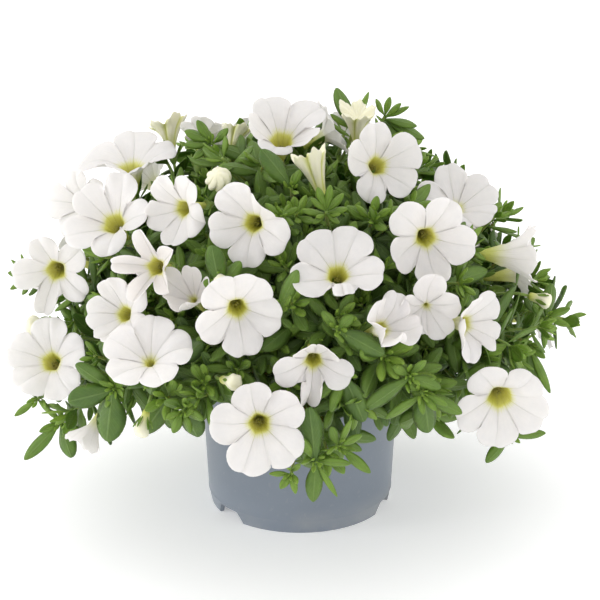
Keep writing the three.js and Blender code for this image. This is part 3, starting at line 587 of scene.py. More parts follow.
def add_rings(twig):
    """Three-cornered rings along a twig, as the solid has them, with their turning frames."""
    curve = twig["curve"]
    reach = TWIG["slack"] * np.linalg.norm(curve[3] - curve[0])
    far = max(twig["stations"])
    plain = max(1, math.floor((reach - far) / TWIG["stride"] + 0.5))
    stops = [(1 - far / reach) * i / plain for i in range(plain)]
    stops += [1 - back / reach for back in twig["stations"]]
    normal = first_normal(bezier_tangent(curve, 0))
    twig["rings"] = []
    for k, t in enumerate(stops):
        tangent = bezier_tangent(curve, t)
        normal = unit(normal - tangent * (normal @ tangent))
        cross = np.cross(tangent, normal)
        turn = twig["turn"] + math.radians(TWIG["twist"] * max(0, k - plain))
        angles = turn + ring_angles(TWIG["sides"])
        spread = np.outer(np.cos(angles), normal) + np.outer(np.sin(angles), cross)
        twig["rings"].append((tangent, bezier(curve, t) + spread * TWIG["radius"]))
    twig["first"] = len(twig["rings"]) - len(twig["stations"])


# ------------ leaves

# Leaves are rows of 17 numbers. These are their columns.
ROOT, ALONG, ACROSS, AWAY = slice(0, 3), slice(3, 6), slice(6, 9), slice(9, 12)
LENGTH, WIDTH, SPLAY, BACK, AGE = range(12, 17)
LEAF_COLUMNS = 17

# A leaf's outline: rows from its root to its tip, their breadth over the leaf's, and round each row
# the place across it (-1 to 1) and the side (1 on the face, -1 on the back, 0 at the margin).
LEAF_ROWS = np.array([0.0, 0.0, 0.08, 0.2, 0.34, 0.48, 0.62, 0.75, 0.87, 0.96, 1.0, 1.0])
LEAF_BREADTH = np.array([0.0, 0.16, 0.22, 0.5, 0.82, 0.99, 1.0, 0.88, 0.66, 0.37, 0.13, 0.0])
LEAF_ACROSS = np.array([-1.0, -0.55, 0.0, 0.55, 1.0, 0.55, 0.0, -0.55])
LEAF_FACE = np.array([0.0, 1.0, 1.0, 1.0, 0.0, -1.0, -1.0, -1.0])


def leaf_row(centre, along, across, away, length, width, splay, back, age):
    """One leaf: where and which way it grows, and its measures."""
    return np.concatenate([centre, along, across, away, [length, width, splay, back, age]])


def leaf_middle(leaves, u):
    """Middle line: the root plus length times ((u cos splay - back u^2) along + u sin splay away)."""
    splay = leaves[:, SPLAY, None]
    forward = leaves[:, LENGTH, None] * (u * np.cos(splay) - leaves[:, BACK, None] * u * u)
    outward = leaves[:, LENGTH, None] * u * np.sin(splay)
    return (
        leaves[:, None, ROOT]
        + forward[..., None] * leaves[:, None, ALONG]
        + outward[..., None] * leaves[:, None, AWAY]
    )


def leaf_tops(leaves, u):
    """Unit direction square to each leaf along its middle line, away from the shoot's tip."""
    splay = leaves[:, SPLAY, None]
    run = unit(
        (np.cos(splay) - 2 * leaves[:, BACK, None] * u)[..., None] * leaves[:, None, ALONG]
        + (np.sin(splay) + 0 * u)[..., None] * leaves[:, None, AWAY]
    )
    across = np.broadcast_to(leaves[:, None, ACROSS], run.shape)
    return unit(np.cross(run, across))


def solid_leaves(twigs):
    """The leaves that the solids have: of each leaf's possible places, the one whose tip is found
    among the corners of its leafy stem's solid."""
    corners = []
    for i in range(len(STEMS)):
        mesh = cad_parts[f"leafy_stem_{i + 1:02d}"].data
        points = np.empty(3 * len(mesh.vertices), np.float32)
        mesh.vertices.foreach_get("co", points)
        corners.append(points.reshape(-1, 3) / MM)
    found = []
    for s, twig in enumerate(twigs):
        count = len(twig["leafy"])
        taken = set()
        for i in range(count):
            segment = twig["first"] + twig["leafy"][i]
            for shift, swing, share in LEAF_TRIES:
                side = (i + s + shift) % TWIG["sides"]
                if (segment, side) in taken:
                    continue
                leaf = solid_leaf(twig, s, i, segment, side, swing, share)
                end = np.array([[1.0]])
                tip = leaf_middle(leaf[None], end)[0, 0]
                top = leaf_tops(leaf[None], end)[0, 0]
                near = np.abs(corners[twig["stem"]] - (tip + top * BLADE / 2)).sum(axis=1).min()
                if near < TIP_MATCH:
                    taken.add((segment, side))
                    found.append((twig["stem"], leaf))
                    break
    return found


def solid_leaf(twig, s, i, segment, side, swing, share):
    """A leaf as the solids would grow it out of one side face of its twig."""
    following = (side + 1) % TWIG["sides"]
    tangent, low = twig["rings"][segment]
    _, high = twig["rings"][segment + 1]
    centre = (low[side] + low[following] + high[side] + high[following]) / 4
    sideways = unit(low[following] - low[side])
    along = unit(tangent - sideways * (sideways @ tangent))
    out = unit(np.cross(sideways, along))
    a = math.radians(swing)
    across = sideways * math.cos(a) - out * math.sin(a)
    away = out * math.cos(a) + sideways * math.sin(a)
    count = len(twig["leafy"])
    age = 1 - i / (count - 1) if count > 1 else 1.0
    length = twig["length"] * (0.6 + 0.4 * age) * (0.9 + 0.2 * draw(s, i, 3)) * share
    width = length * (0.29 + 0.07 * draw(s, i, 4))
    splay = math.radians(36 + 34 * age + 8 * draw(s, i, 5))
    back = 0.08 + 0.17 * draw(s, i, 6)
    return leaf_row(centre, along, across, away, length, 1.2 * width, splay, back, 0.35 + 0.45 * age)


# ------------ skins: closed grids of points


def packed(grid):
    """Values on copies x rows x around, in the order of a skin's corners: the first row as one
    pole, the rows between, and the last row as the other pole."""
    copies, rows, around = grid.shape[:3]
    middle = grid[:, 1:-1].reshape(copies, (rows - 2) * around, *grid.shape[3:])
    parts = [grid[:, 0, :1], middle, grid[:, -1, :1]]
    return np.concatenate(parts, axis=1).reshape(-1, *grid.shape[3:])


def band_quads(first, rows, around):
    """Quads between rows of a ring of corners, of which the first has the number first."""
    ring = np.arange(around)
    after = (ring + 1) % around
    a = first + np.arange(rows - 1)[:, None] * around
    return np.stack([a + ring, a + after, a + around + after, a + around + ring], axis=-1).reshape(-1, 4)


def skin_faces(copies, rows, around):
    """Triangles and quads of skins whose rows run anticlockwise seen from their last row."""
    ring = np.arange(around)
    after = (ring + 1) % around
    rings = rows - 2
    last = 1 + (rings - 1) * around
    start = np.stack([np.zeros(around, int), 1 + after, 1 + ring], axis=-1)
    end = np.stack([last + ring, last + after, np.full(around, last + around)], axis=-1)
    shift = np.arange(copies)[:, None, None] * (rings * around + 2)
    quads = (band_quads(1, rings, around)[None] + shift).reshape(-1, 4)
    triangles = (np.concatenate([start, end])[None] + shift).reshape(-1, 3)
    return triangles, quads


def new_object(name, data):
    """An object of the scene's collection."""
    made = bpy.data.objects.new(name, data)
    bpy.context.scene.collection.objects.link(made)
    return made


class Piece:
    """Collects skins and their attributes, and turns them into one Blender object in metres."""

    def __init__(self, name, fields):
        self.name = name
        self.fields = fields
        self.points = []
        self.values = {field: [] for field in fields}
        self.triangles = []
        self.quads = []
        self.triangle_slots = []
        self.quad_slots = []
        self.count = 0

    def add(self, grid, values=None, slot=0):
        """Adds copies x rows x around x 3 points, with attribute grids that broadcast to them."""
        values = values or {}
        shape = grid.shape[:3]
        triangles, quads = skin_faces(*shape)
        points = packed(grid)
        self.points.append(points)
        for field in self.fields:
            value = np.broadcast_to(values.get(field, 0.0), shape)
            self.values[field].append(packed(value))
        self.triangles.append(triangles + self.count)
        self.quads.append(quads + self.count)
        self.triangle_slots.append(np.full(len(triangles), slot))
        self.quad_slots.append(np.full(len(quads), slot))
        self.count += len(points)

    def build(self, materials):
        """The object, smooth shaded, in the scene's collection."""
        triangles = np.concatenate(self.triangles)
        quads = np.concatenate(self.quads)
        mesh = bpy.data.meshes.new(self.name)
        points = np.concatenate(self.points) * MM
        mesh.vertices.add(len(points))
        mesh.vertices.foreach_set("co", points.astype(np.float32).ravel())
        corners = np.concatenate([triangles.ravel(), quads.ravel()]).astype(np.int32)
        mesh.loops.add(len(corners))
        mesh.loops.foreach_set("vertex_index", corners)
        starts = np.concatenate(
            [3 * np.arange(len(triangles)), 3 * len(triangles) + 4 * np.arange(len(quads))]
        )
        mesh.polygons.add(len(starts))
        mesh.polygons.foreach_set("loop_start", starts.astype(np.int32))
        slots = np.concatenate(self.triangle_slots + self.quad_slots).astype(np.int32)
        mesh.polygons.foreach_set("material_index", slots)
        mesh.polygons.foreach_set("use_smooth", np.ones(len(starts), bool))
        mesh.update(calc_edges=True)
        for field in self.fields:
            layer = mesh.attributes.new(field, "FLOAT", "POINT")
            layer.data.foreach_set("value", np.concatenate(self.values[field]).astype(np.float32))
        for material in materials:
            mesh.materials.append(material)
        return new_object(self.name, mesh)


def turned(profile, around):
    """A profile of (radius, height) rows turned about Z, as a skin of one copy."""
    profile = np.asarray(profile, float)
    angles = ring_angles(around)
    r, z = profile[:, 0, None], profile[:, 1, None]
    return np.stack([r * np.cos(angles), r * np.sin(angles), z + 0 * angles], axis=-1)[None]


def placed(profile, starts, axes, around, pleat=1.0):
    """A profile of (radius, height) rows turned about each of several axes. pleat multiplies the
    radius by row and angle."""
    profile = np.asarray(profile, float)
    axes = unit(np.asarray(axes, float))
    x, y = crosswise(axes)
    angles = ring_angles(around)
    r = profile[:, :1] * np.ones(around) * pleat
    return (
        np.asarray(starts, float)[:, None, None]
        + (r * np.cos(angles))[None, ..., None] * x[:, None, None]
        + (r * np.sin(angles))[None, ..., None] * y[:, None, None]
        + profile[None, :, 1, None, None] * axes[:, None, None]
    )


# ------------ materials


def node_group(name, inputs, *outputs):
    """An empty shader node group of numbers in and out, and its two end nodes."""
    group = bpy.data.node_groups.new(name, "ShaderNodeTree")
    for label, value in inputs.items():
        socket = group.interface.new_socket(label, in_out="INPUT", socket_type="NodeSocketFloat")
        socket.default_value = value
    for label in outputs:
        group.interface.new_socket(label, in_out="OUTPUT", socket_type="NodeSocketFloat")
    return group, group.nodes.new("NodeGroupInput"), group.nodes.new("NodeGroupOutput")


class Graph:
    """Short words for placing and joining shader nodes, and for feeding a material's shader."""

    def __init__(self, tree, shader=None):
        self.tree = tree
        self.shader = shader

    def node(self, kind, inputs=(), **settings):
        made = self.tree.nodes.new(kind)
        for key, value in settings.items():
            setattr(made, key, value)
        for socket, value in dict(inputs).items():
            if isinstance(value, bpy.types.NodeSocket):
                self.tree.links.new(value, made.inputs[socket])
            else:
                made.inputs[socket].default_value = value
        return made

    def math(self, operation, a, b=0.0, c=0.0, clamp=False):
        made = self.node("ShaderNodeMath", {0: a, 1: b, 2: c}, operation=operation, use_clamp=clamp)
        return made.outputs[0]

    def ramp(self, value, low, high, smooth=True):
        """0 below low and 1 over high."""
        kind = "SMOOTHSTEP" if smooth else "LINEAR"
        inputs = {"Value": value, "From Min": low, "From Max": high}
        return self.node("ShaderNodeMapRange", inputs, interpolation_type=kind).outputs[0]

    def fall(self, value, low, high):
        """1 below low and 0 over high."""
        return self.math("SUBTRACT", 1.0, self.ramp(value, low, high))

    def times(self, a, b):
        return self.math("MULTIPLY", a, b)

    def scaled(self, value, factor, offset, clamp=False):
        return self.math("MULTIPLY_ADD", value, factor, offset, clamp)

    def mix(self, share, a, b):
        """a at 0 and b at 1."""
        return self.node("ShaderNodeMix", {0: share, 6: a, 7: b}, data_type="RGBA").outputs[2]

    def field(self, name):
        return self.node("ShaderNodeAttribute", attribute_name=name).outputs["Fac"]

    def group(self, name, **values):
        """A shared group by its name, with its inputs by theirs, spaces written as underscores."""
        inputs = {label.replace("_", " "): value for label, value in values.items()}
        return self.node("ShaderNodeGroup", inputs, node_tree=shared_group(name))

    def mottle(self, size, contrast):
        return self.group("cloudy_mottle", Size=size, Contrast=contrast).outputs[0]

    def grain(self, size, coarse_share):
        return self.group("fine_grain", Size=size, Coarse_share=coarse_share).outputs[0]

    def link(self, output, socket):
        self.tree.links.new(output, socket)

    def feed(self, label, output):
        self.link(output, self.shader.inputs[label])

    def bump(self, height, distance):
        """Feeds a height in 0 to 1 to the shader's normal, distance in metres."""
        self.feed("Normal", self.node("ShaderNodeBump", {"Height": height, "Distance": distance}).outputs[0])


def mottle_group():
    """Soft cloudy mask on object coordinates, at a size in metres."""
    group, start, end = node_group("cloudy_mottle", {"Size": 0.01, "Contrast": 1.0}, "Mask")
    g = Graph(group)
    place = g.node("ShaderNodeTexCoord").outputs["Object"]
    scale = g.math("DIVIDE", 1.0, start.outputs["Size"])
    noise = g.node("ShaderNodeTexNoise", {"Vector": place, "Scale": scale, "Detail": 3.0}).outputs[0]
    centred = g.math("SUBTRACT", noise, 0.5)
    g.link(g.scaled(centred, start.outputs["Contrast"], 0.5, clamp=True), end.inputs[0])
    return group


def grain_group():
    """Fine two-scale height on object coordinates, for bumps."""
    group, start, end = node_group("fine_grain", {"Size": 0.001, "Coarse share": 0.4}, "Height")
    g = Graph(group)
    place = g.node("ShaderNodeTexCoord").outputs["Object"]
    fine = g.math("DIVIDE", 1.0, start.outputs["Size"])
    coarse = g.math("DIVIDE", fine, 5.0)
    small = g.node("ShaderNodeTexNoise", {"Vector": place, "Scale": fine, "Detail": 2.0}).outputs[0]
    large = g.node("ShaderNodeTexNoise", {"Vector": place, "Scale": coarse, "Detail": 2.0}).outputs[0]
    mixed = g.node("ShaderNodeMix", {0: start.outputs["Coarse share"], 2: small, 3: large}).outputs[0]
    g.link(mixed, end.inputs[0])
    return group


def vein_group():
    """Feathered veins: a line down the middle of a blade and side lines that slant off it.
    Side lines are the low places of a wave of (along - slant * |across|)."""
    inputs = {"Along": 0.0, "Across": 0.0, "Count": 9.0, "Slant": 0.35}
    group, start, end = node_group("feathered_veins", inputs, "Middle", "Sides")
    g = Graph(group)
    off = g.math("ABSOLUTE", start.outputs["Across"])
    middle = g.fall(off, 0.02, 0.13)
    slanted = g.times(off, start.outputs["Slant"])
    wave = g.times(g.math("SUBTRACT", start.outputs["Along"], slanted), start.outputs["Count"])
    line = g.math("ABSOLUTE", g.math("SINE", g.times(wave, math.pi)))
    sides = g.fall(line, 0.0, 0.35)
    g.link(middle, end.inputs[0])
    g.link(sides, end.inputs[1])
    return group


def shared_group(name):
    """A shader node group by name, built the first time that it is asked for."""
    makers = {"cloudy_mottle": mottle_group, "fine_grain": grain_group, "feathered_veins": vein_group}
    return bpy.data.node_groups.get(name) or makers[name]()


def new_material(name, roughness, **constants):
    """A material with a Principled shader, and its graph."""
    material = bpy.data.materials.new(name)
    material.use_nodes = True
    shader = material.node_tree.nodes["Principled BSDF"]
    shader.inputs["Roughness"].default_value = roughness
    for label, value in constants.items():
        shader.inputs[label.replace("_", " ")].default_value = value
    return material, Graph(material.node_tree, shader)


def rgba(color, share=1.0):
    """A colour with its full alpha, darkened to a share of itself."""
    return (*(share * c for c in color), 1.0)


def pot_material(looks):
    """Grey-blue moulded plastic: slight cloudiness, dust near the foot, a fine moulding grain."""
    material, g = new_material("moulded_grey_blue_plastic", 0.4)
    mottle = g.mottle(0.03, 1.6)
    fine = g.mottle(0.002, 2.5)
    body = g.mix(mottle, rgba(looks.pot_color), rgba(looks.pot_color, 0.88))
    specks = g.ramp(fine, 0.8, 1.0)
    body = g.mix(g.times(specks, 0.07), body, rgba(looks.dust_color))
    height = g.node("ShaderNodeSeparateXYZ", {0: g.node("ShaderNodeTexCoord").outputs["Object"]}).outputs[2]
    low = g.fall(height, 0.0, 0.016)
    dust = g.times(low, g.ramp(mottle, 0.3, 0.75))
    g.feed("Base Color", g.mix(g.times(dust, 0.35), body, rgba(looks.dust_color)))
    rough = g.scaled(mottle, 0.14, 0.3)
    g.feed("Roughness", g.scaled(dust, 0.25, rough))
    g.bump(g.grain(0.0009, 0.35), 0.00006)
    return material


def soil_material(looks):
    """Dark peat with paler fibres and bits."""
    material, g = new_material("peat_soil", 0.95, Specular_IOR_Level=0.15)
    mottle = g.mottle(0.006, 2.2)
    fine = g.mottle(0.0011, 3.0)
    body = g.mix(mottle, rgba(looks.soil_color), rgba(looks.soil_color, 0.45))
    bits = g.times(g.ramp(fine, 0.66, 0.95), g.field("bit"))
    body = g.mix(g.times(bits, 0.6), body, rgba(looks.bark_color))
    g.feed("Base Color", body)
    g.bump(g.grain(0.0008, 0.5), 0.0006)
    return material


def leaf_material(looks):
    """Green blades: yellower when young, darker when old, with a pale midrib and slanting veins."""
    glow = {"Subsurface_Weight": 0.12, "Subsurface_Scale": 0.002, "Subsurface_Radius": (0.5, 1.0, 0.2)}
    material, g = new_material("calibrachoa_leaf", 0.5, Specular_IOR_Level=0.38, **glow)
    age = g.field("age")
    mottle = g.mottle(0.007, 1.8)
    fine = g.mottle(0.0013, 2.0)
    aged = g.math("ADD", age, g.scaled(mottle, 0.3, -0.15), clamp=True)
    young = g.mix(g.ramp(aged, 0.0, 0.5, False), rgba(looks.young_leaf), rgba(looks.leaf))
    body = g.mix(g.ramp(aged, 0.5, 1.0, False), young, rgba(looks.old_leaf))
    veins = g.group("feathered_veins", Along=g.field("along"), Across=g.field("across"))
    middle, sides = veins.outputs[0], veins.outputs[1]
    pale = g.mix(0.5, body, rgba(looks.midrib))
    body = g.mix(g.times(middle, 0.4), body, pale)
    body = g.mix(g.times(sides, 0.1), body, pale)
    body = g.mix(g.times(fine, 0.18), body, rgba(looks.leaf, 0.6))
    margin = g.ramp(g.math("ABSOLUTE", g.field("across")), 0.88, 1.0)
    body = g.mix(g.times(margin, 0.35), body, pale)
    g.feed("Base Color", body)
    g.feed("Roughness", g.scaled(fine, 0.18, 0.36))
    relief = g.math("ADD", g.times(sides, -0.2), g.times(middle, -0.7))
    grain = g.grain(0.0007, 0.3)
    g.bump(g.math("ADD", relief, g.times(grain, 0.5)), 0.0003)
    return material


def stem_material(looks):
    """Soft green stems, calyces and green buds: along runs from old to young."""
    material, g = new_material("green_stem", 0.55, Subsurface_Weight=0.05, Sheen_Weight=0.2)
    mottle = g.mottle(0.004, 2.0)
    body = g.mix(g.field("age"), rgba(looks.young_leaf), rgba(looks.stem))
    body = g.mix(g.times(mottle, 0.35), body, rgba(looks.stem, 0.6))
    g.feed("Base Color", body)
    g.feed("Roughness", g.scaled(mottle, 0.15, 0.45))
    g.bump(g.grain(0.0006, 0.3), 0.0002)
    return material


def petal_material(looks):
    """White corolla. reach runs from -1 at the tube's foot over 0 at the throat's mouth to 1 at the
    rim, edge from 0 in a lobe's middle to 1 between lobes, and side is 1 on the face, 0 on the back."""
    glow = {"Subsurface_Weight": 0.45, "Subsurface_Scale": 0.003, "Subsurface_Radius": (1.0, 0.95, 0.8)}
    material, g = new_material("white_petal", 0.5, Sheen_Weight=0.06, **glow)
    reach, edge, side, turn = (g.field(name) for name in ("reach", "edge", "side", "turn"))
    mottle = g.mottle(0.005, 1.8)
    fine = g.mottle(0.0012, 1.6)
    white = g.mix(g.times(mottle, 0.8), rgba(looks.petal), rgba(looks.petal_shade))
    # Radial veins: narrow low places of a wave round the flower, which die out towards the rim.
    wobble = g.times(g.math("SUBTRACT", mottle, 0.5), 0.008)
    wave = g.math("SINE", g.times(g.math("ADD", turn, wobble), 2 * math.pi * 35))
    veins = g.fall(g.math("ABSOLUTE", wave), 0.0, 0.5)
    inner = g.fall(reach, 0.05, 0.62)
    outer = g.fall(reach, 0.5, 1.05)
    # The midvein of each lobe in the vein's own colour, and painted shade along the fold between two lobes.
    midvein = g.fall(edge, 0.0, 0.05)
    fold = g.times(g.ramp(edge, 0.86, 1.0), outer)
    crease = g.math("MAXIMUM", g.times(midvein, 0.8), g.times(fold, 0.6))
    line = g.math("MULTIPLY", crease, g.scaled(outer, 0.75, 0.2), clamp=True)
    # Painted shade in the folds between lobes, and the midveins' own grey, laid over the petal.
    white = g.mix(g.times(line, 0.3), white, rgba(looks.petal_vein_and_shade))
    white = g.mix(g.times(g.times(veins, outer), 0.05), white, rgba(looks.petal_vein_and_shade))
    # Painted shade: the limb greys towards the throat's mouth, where the funnel falls into shadow.
    painted_throat_shade = g.fall(reach, 0.0, 0.5)
    white = g.mix(g.times(painted_throat_shade, 0.25), white, rgba(looks.petal_vein_and_shade))
    # The eye on the face: an olive tube, a yellow-green mouth that runs out along the creases, and
    # a narrow glow round it.
    rays = g.times(g.math("MAXIMUM", g.times(veins, 0.35), crease), 0.2)
    reached = g.math("SUBTRACT", reach, g.scaled(fine, 0.06, rays))
    glow = g.fall(reached, -0.02, looks.eye_reach)
    face = g.mix(glow, white, rgba(looks.eye_rim))
    mouth = g.fall(reached, -0.3, 0.1)
    face = g.mix(mouth, face, rgba(looks.eye))
    dark = g.fall(reach, -0.75, -0.25)
    face = g.mix(dark, face, rgba(looks.eye_deep))
    # The back: a yellow-green tube that pales into the limb.
    pale = g.fall(reached, -0.6, 0.42)
    back = g.mix(pale, white, rgba(looks.tube))
    back = g.mix(g.times(g.times(veins, inner), 0.2), back, rgba(looks.tube_vein))
    g.feed("Base Color", g.mix(side, back, face))
    g.feed("Roughness", g.scaled(fine, 0.2, 0.42))
    relief = g.scaled(g.times(veins, outer), -0.12, g.times(line, -0.6))
    grain = g.grain(0.0011, 0.6)
    g.bump(g.math("ADD", relief, g.times(grain, 0.5)), 0.0003)
    return material


def bud_material(looks):
    """Cream pleated bud: greenish at its foot and in its folds."""
    glow = {"Subsurface_Weight": 0.15, "Subsurface_Scale": 0.002, "Subsurface_Radius": (1.0, 0.95, 0.6)}
    material, g = new_material("cream_bud", 0.5, Sheen_Weight=0.1, **glow)
    mottle = g.mottle(0.004, 1.8)
    foot = g.fall(g.field("along"), 0.0, 0.7)
    body = g.mix(g.times(mottle, 0.4), rgba(looks.bud), rgba(looks.petal))
    body = g.mix(g.times(g.ramp(g.field("fold"), 0.25, 1.0), 0.8), body, rgba(looks.tube))
    g.feed("Base Color", g.mix(foot, body, rgba(looks.tube)))
    g.feed("Roughness", g.scaled(mottle, 0.2, 0.42))
    g.bump(g.grain(0.0008, 0.4), 0.00015)
    return material


def anther_material(looks):
    """Olive and yellow anthers round the stigma."""
    material, g = new_material("anther", 0.6)
    mottle = g.mottle(0.0008, 2.5)
    g.feed("Base Color", g.mix(mottle, rgba(looks.anther), rgba(looks.eye_deep)))
    g.bump(g.grain(0.0004, 0.3), 0.0002)
    return material


def floor_material(looks):
    """Pale studio floor with the faintest cloudiness."""
    light = looks.floor_light
    material, g = new_material("studio_floor", 0.8, Specular_IOR_Level=0.1, Emission_Strength=light)
    mottle = g.mottle(0.2, 1.0)
    floor = rgba(looks.floor_color)
    body = g.mix(mottle, floor, rgba(looks.floor_color, 0.985))
    g.feed("Base Color", body)
    g.feed("Emission Color", body)
    return material


# ------------ settings


def color_setting(name, description, default):
    return FloatVectorProperty(
        name=name, description=description, default=default, min=0.0, max=1.0, size=3, subtype="COLOR"
    )


def length_setting(name, description, default):
    return FloatProperty(name=name, description=description, default=default, unit="LENGTH")


def power_setting(name, description, default):
    return FloatProperty(name=name, description=description, default=default, unit="POWER")


def count_setting(name, description, default):
    return IntProperty(name=name, description=description, default=default)


class CalibrachoaLooks(bpy.types.PropertyGroup):
    """Colours of the plant, its pot and the studio."""

    pot_color: color_setting("Pot", "Moulded plastic of the pot", (0.215, 0.25, 0.3))
    dust_color: color_setting("Dust", "Dust and scuffs on the plastic", (0.5, 0.49, 0.46))
    soil_color: color_setting("Soil", "Damp peat", (0.045, 0.03, 0.02))
    bark_color: color_setting("Bark bits", "Paler fibres and bits in the peat", (0.16, 0.1, 0.055))
    young_leaf: color_setting("Young leaf", "Leaves at a shoot's tip", (0.27, 0.42, 0.055))
    leaf: color_setting("Leaf", "Grown leaves", (0.137, 0.235, 0.029))
    old_leaf: color_setting("Old leaf", "Old inner leaves", (0.068, 0.13, 0.025))
    midrib: color_setting("Midrib", "Midrib and veins of a leaf", (0.32, 0.46, 0.14))
    stem: color_setting("Stem", "Stems and twigs", (0.13, 0.22, 0.05))
    petal: color_setting("Petal", "Lit petal", (0.852, 0.8, 0.764))
    petal_shade: color_setting("Petal shade", "Cooler cloudiness in a petal", (0.778, 0.737, 0.714))
    # Grey of the midveins and veins, also used as painted shade in the folds between lobes and towards the
    # throat.
    petal_vein_and_shade: color_setting("Petal vein", "Midveins and creases", (0.56, 0.56, 0.5))
    eye: color_setting("Eye", "Mouth of the throat", (0.47, 0.44, 0.035))
    eye_rim: color_setting("Eye rim", "Glow round the throat", (0.66, 0.65, 0.13))
    eye_deep: color_setting("Deep throat", "Inside of the tube", (0.25, 0.225, 0.025))
    tube: color_setting("Tube", "Outside of the tube", (0.6, 0.63, 0.11))
    tube_vein: color_setting("Tube vein", "Lines along the tube", (0.3, 0.33, 0.1))
    bud: color_setting("Bud", "Cream of an opening bud", (0.86, 0.84, 0.6))
    anther: color_setting("Anther", "Anthers and stigma", (0.3, 0.29, 0.07))
    floor_color: color_setting("Floor", "Studio floor", (0.95, 0.95, 0.95))
    floor_light: FloatProperty(
        name="Floor light", description="Light that the floor gives of itself", default=0.3, min=0.0
    )
    eye_reach: FloatProperty(
        name="Eye reach",
        description="Share of the limb over which the yellow-green of the eye fades",
        default=0.27,
        min=0.05,
        max=1.0,
        subtype="FACTOR",
    )


class CalibrachoaShape(bpy.types.PropertyGroup):
    """Sizes and amounts of what is added to the solids."""

    petal_thickness: length_setting("Petal thickness", "Thickness of a petal", 0.00035)
    leaf_thickness: length_setting("Leaf thickness", "Thickness of a leaf", 0.00045)
    twig_radius: length_setting("Twig radius", "Radius of a twig in its middle", 0.0009)
    side_shoots: count_setting("Side shoots", "Leafy side shoots tried between the flowers", 230)
    crumbs: count_setting("Crumbs", "Loose crumbs and bits on the soil", 260)
    seed: count_setting("Seed", "Seed of every random draw", 11)


class CalibrachoaStudio(bpy.types.PropertyGroup):
    """Camera, floor and light."""

    distance: length_setting("Distance", "Camera to the plant's middle", 1.2)
    target_height: length_setting("Target height", "Height the camera looks at", 0.107)
    elevation: FloatProperty(
        name="Elevation",
        description="Camera's angle over the horizon",
        default=math.radians(20.7),
        unit="ROTATION",
    )
    lens: FloatProperty(name="Lens", description="Focal length in millimetres", default=144.0)
    floor_size: length_setting("Floor size", "Side of the floor", 8.0)
    world_light: FloatProperty(name="World light", description="Strength of the white room", default=0.95)
    key_power: power_setting("Key light", "Power of the left light", 5.6)
    fill_power: power_setting("Fill light", "Power of the right light", 2.3)
    top_power: power_setting("Top light", "Power of the top light", 2.5)


# ------------ pot and soil

POT_AROUND = 360
SOIL_AROUND = 140
# Lumps of the soil's crown: share, size and seed of three noises.
SOIL_LUMPS = [(0.8, 11.0, 3), (0.55, 4.0, 4), (0.3, 1.8, 5)]
CRUMB_ROWS, CRUMB_AROUND = 6, 8


def wall_radius(z):
    """Outer radius of the pot's wall, straight from the ridge to the rim."""
    share = (z - POT["ridge_height"]) / (POT["height"] - POT["ridge_height"])
    return POT["ridge_radius"] + share * (POT["rim_radius"] - POT["rim_lip"] - POT["ridge_radius"])


def arc(centre, radius, first, last, count=5):
    """Points (radius, height) of an arc in the profile's plane, angles in degrees."""
    a = np.radians(np.linspace(first, last, count))
    return [(centre[0] + radius * math.cos(t), centre[1] + radius * math.sin(t)) for t in a]


def pot_profile():
    """Pot's outline from the middle of its underside, up the outside and down the inside. Its small
    numbers are the roundings of edges and the ridge's bead."""
    foot, wall, ridge, rim = POT["foot_radius"], POT["wall"], POT["ridge_radius"], POT["rim_radius"]
    top, floor = POT["height"], POT["floor_height"]
    lip, inner = top - POT["rim_height"], floor + POT["floor_thickness"]
    mouth, bottom = wall_radius(top) - wall, wall_radius(inner) - wall
    profile = [(0.0, floor), (20.0, floor), (38.0, floor)]
    profile += arc((foot - 2 * wall - 0.6, floor - 0.6), 0.6, 90, 0, 3)
    profile += [(foot - 1.7 * wall, 3.0), (foot - 1.4 * wall, 0.35), (foot - 1.3 * wall, 0.0)]
    profile += [(foot - 0.35, 0.0), (foot + 0.02, 0.35), (foot + 0.6, 3.0), (ridge - 0.25, 6.6)]
    profile += [(ridge + 0.12, 7.0), (ridge + 0.16, POT["ridge_height"])]
    profile += [(wall_radius(8.4) - 0.05, 8.4)]
    profile += [(wall_radius(z), z) for z in np.linspace(9.5, lip - 0.6, 14)]
    profile += [(wall_radius(lip) + 0.15, lip + 0.05), (rim - 0.5, lip + 0.25)]
    profile += [(rim - 0.1, lip + 0.6), (rim, lip + 1.2), (rim, top - 0.7)]
    profile += arc((rim - 0.7, top - 0.7), 0.7, 20, 90, 4)
    profile += arc((mouth + 0.5, top - 0.5), 0.5, 90, 180, 4)
    profile += [(wall_radius(z) - wall, z) for z in np.linspace(top - 3, inner + 3, 10)]
    return profile + [(bottom - 0.8, inner + 0.4), (bottom - 2.5, inner), (20.0, inner), (0.0, inner)]


def pot_grid():
    """The turned profile, with its skirt drawn up at the notches: below the notch height, heights
    are squeezed into what is left between the notch's edge and the ridge."""
    grid = turned(pot_profile(), POT_AROUND)
    angle = np.degrees(ring_angles(POT_AROUND)) + 90
    half = NOTCH["half_width"]
    slope = math.degrees(NOTCH["slope"] / POT["foot_radius"])
    lift = np.zeros(POT_AROUND)
    for k in range(NOTCH["count"]):
        middle = NOTCH["first"] + 360 / NOTCH["count"] * k
        off = np.abs((angle - middle + 180) % 360 - 180)
        share = np.clip((half - off) / slope, 0, 1)
        lift = np.maximum(lift, NOTCH["height"] * share**0.85)
    ceiling = NOTCH["height"] + 0.3
    z = grid[..., 2]
    r = np.hypot(grid[..., 0], grid[..., 1])
    skirt = (z < ceiling) & (r > POT["foot_radius"] - 2.2 * POT["wall"])
    squeezed = lift + z * (ceiling - lift) / ceiling
    raised = np.where(skirt, squeezed, z)
    # The wall keeps its slope: a point that is lifted goes to the radius of its new height.
    outer = skirt & (r > POT["foot_radius"] - 0.9 * POT["wall"])
    taper = (POT["ridge_radius"] - POT["foot_radius"]) / POT["ridge_height"]
    grown = r + np.where(outer, taper, taper * 0.6) * np.where(skirt, raised - z, 0)
    scale = np.where(r > 0, grown / np.maximum(r, 1e-6), 1)
    return np.stack([grid[..., 0] * scale, grid[..., 1] * scale, raised], axis=-1)


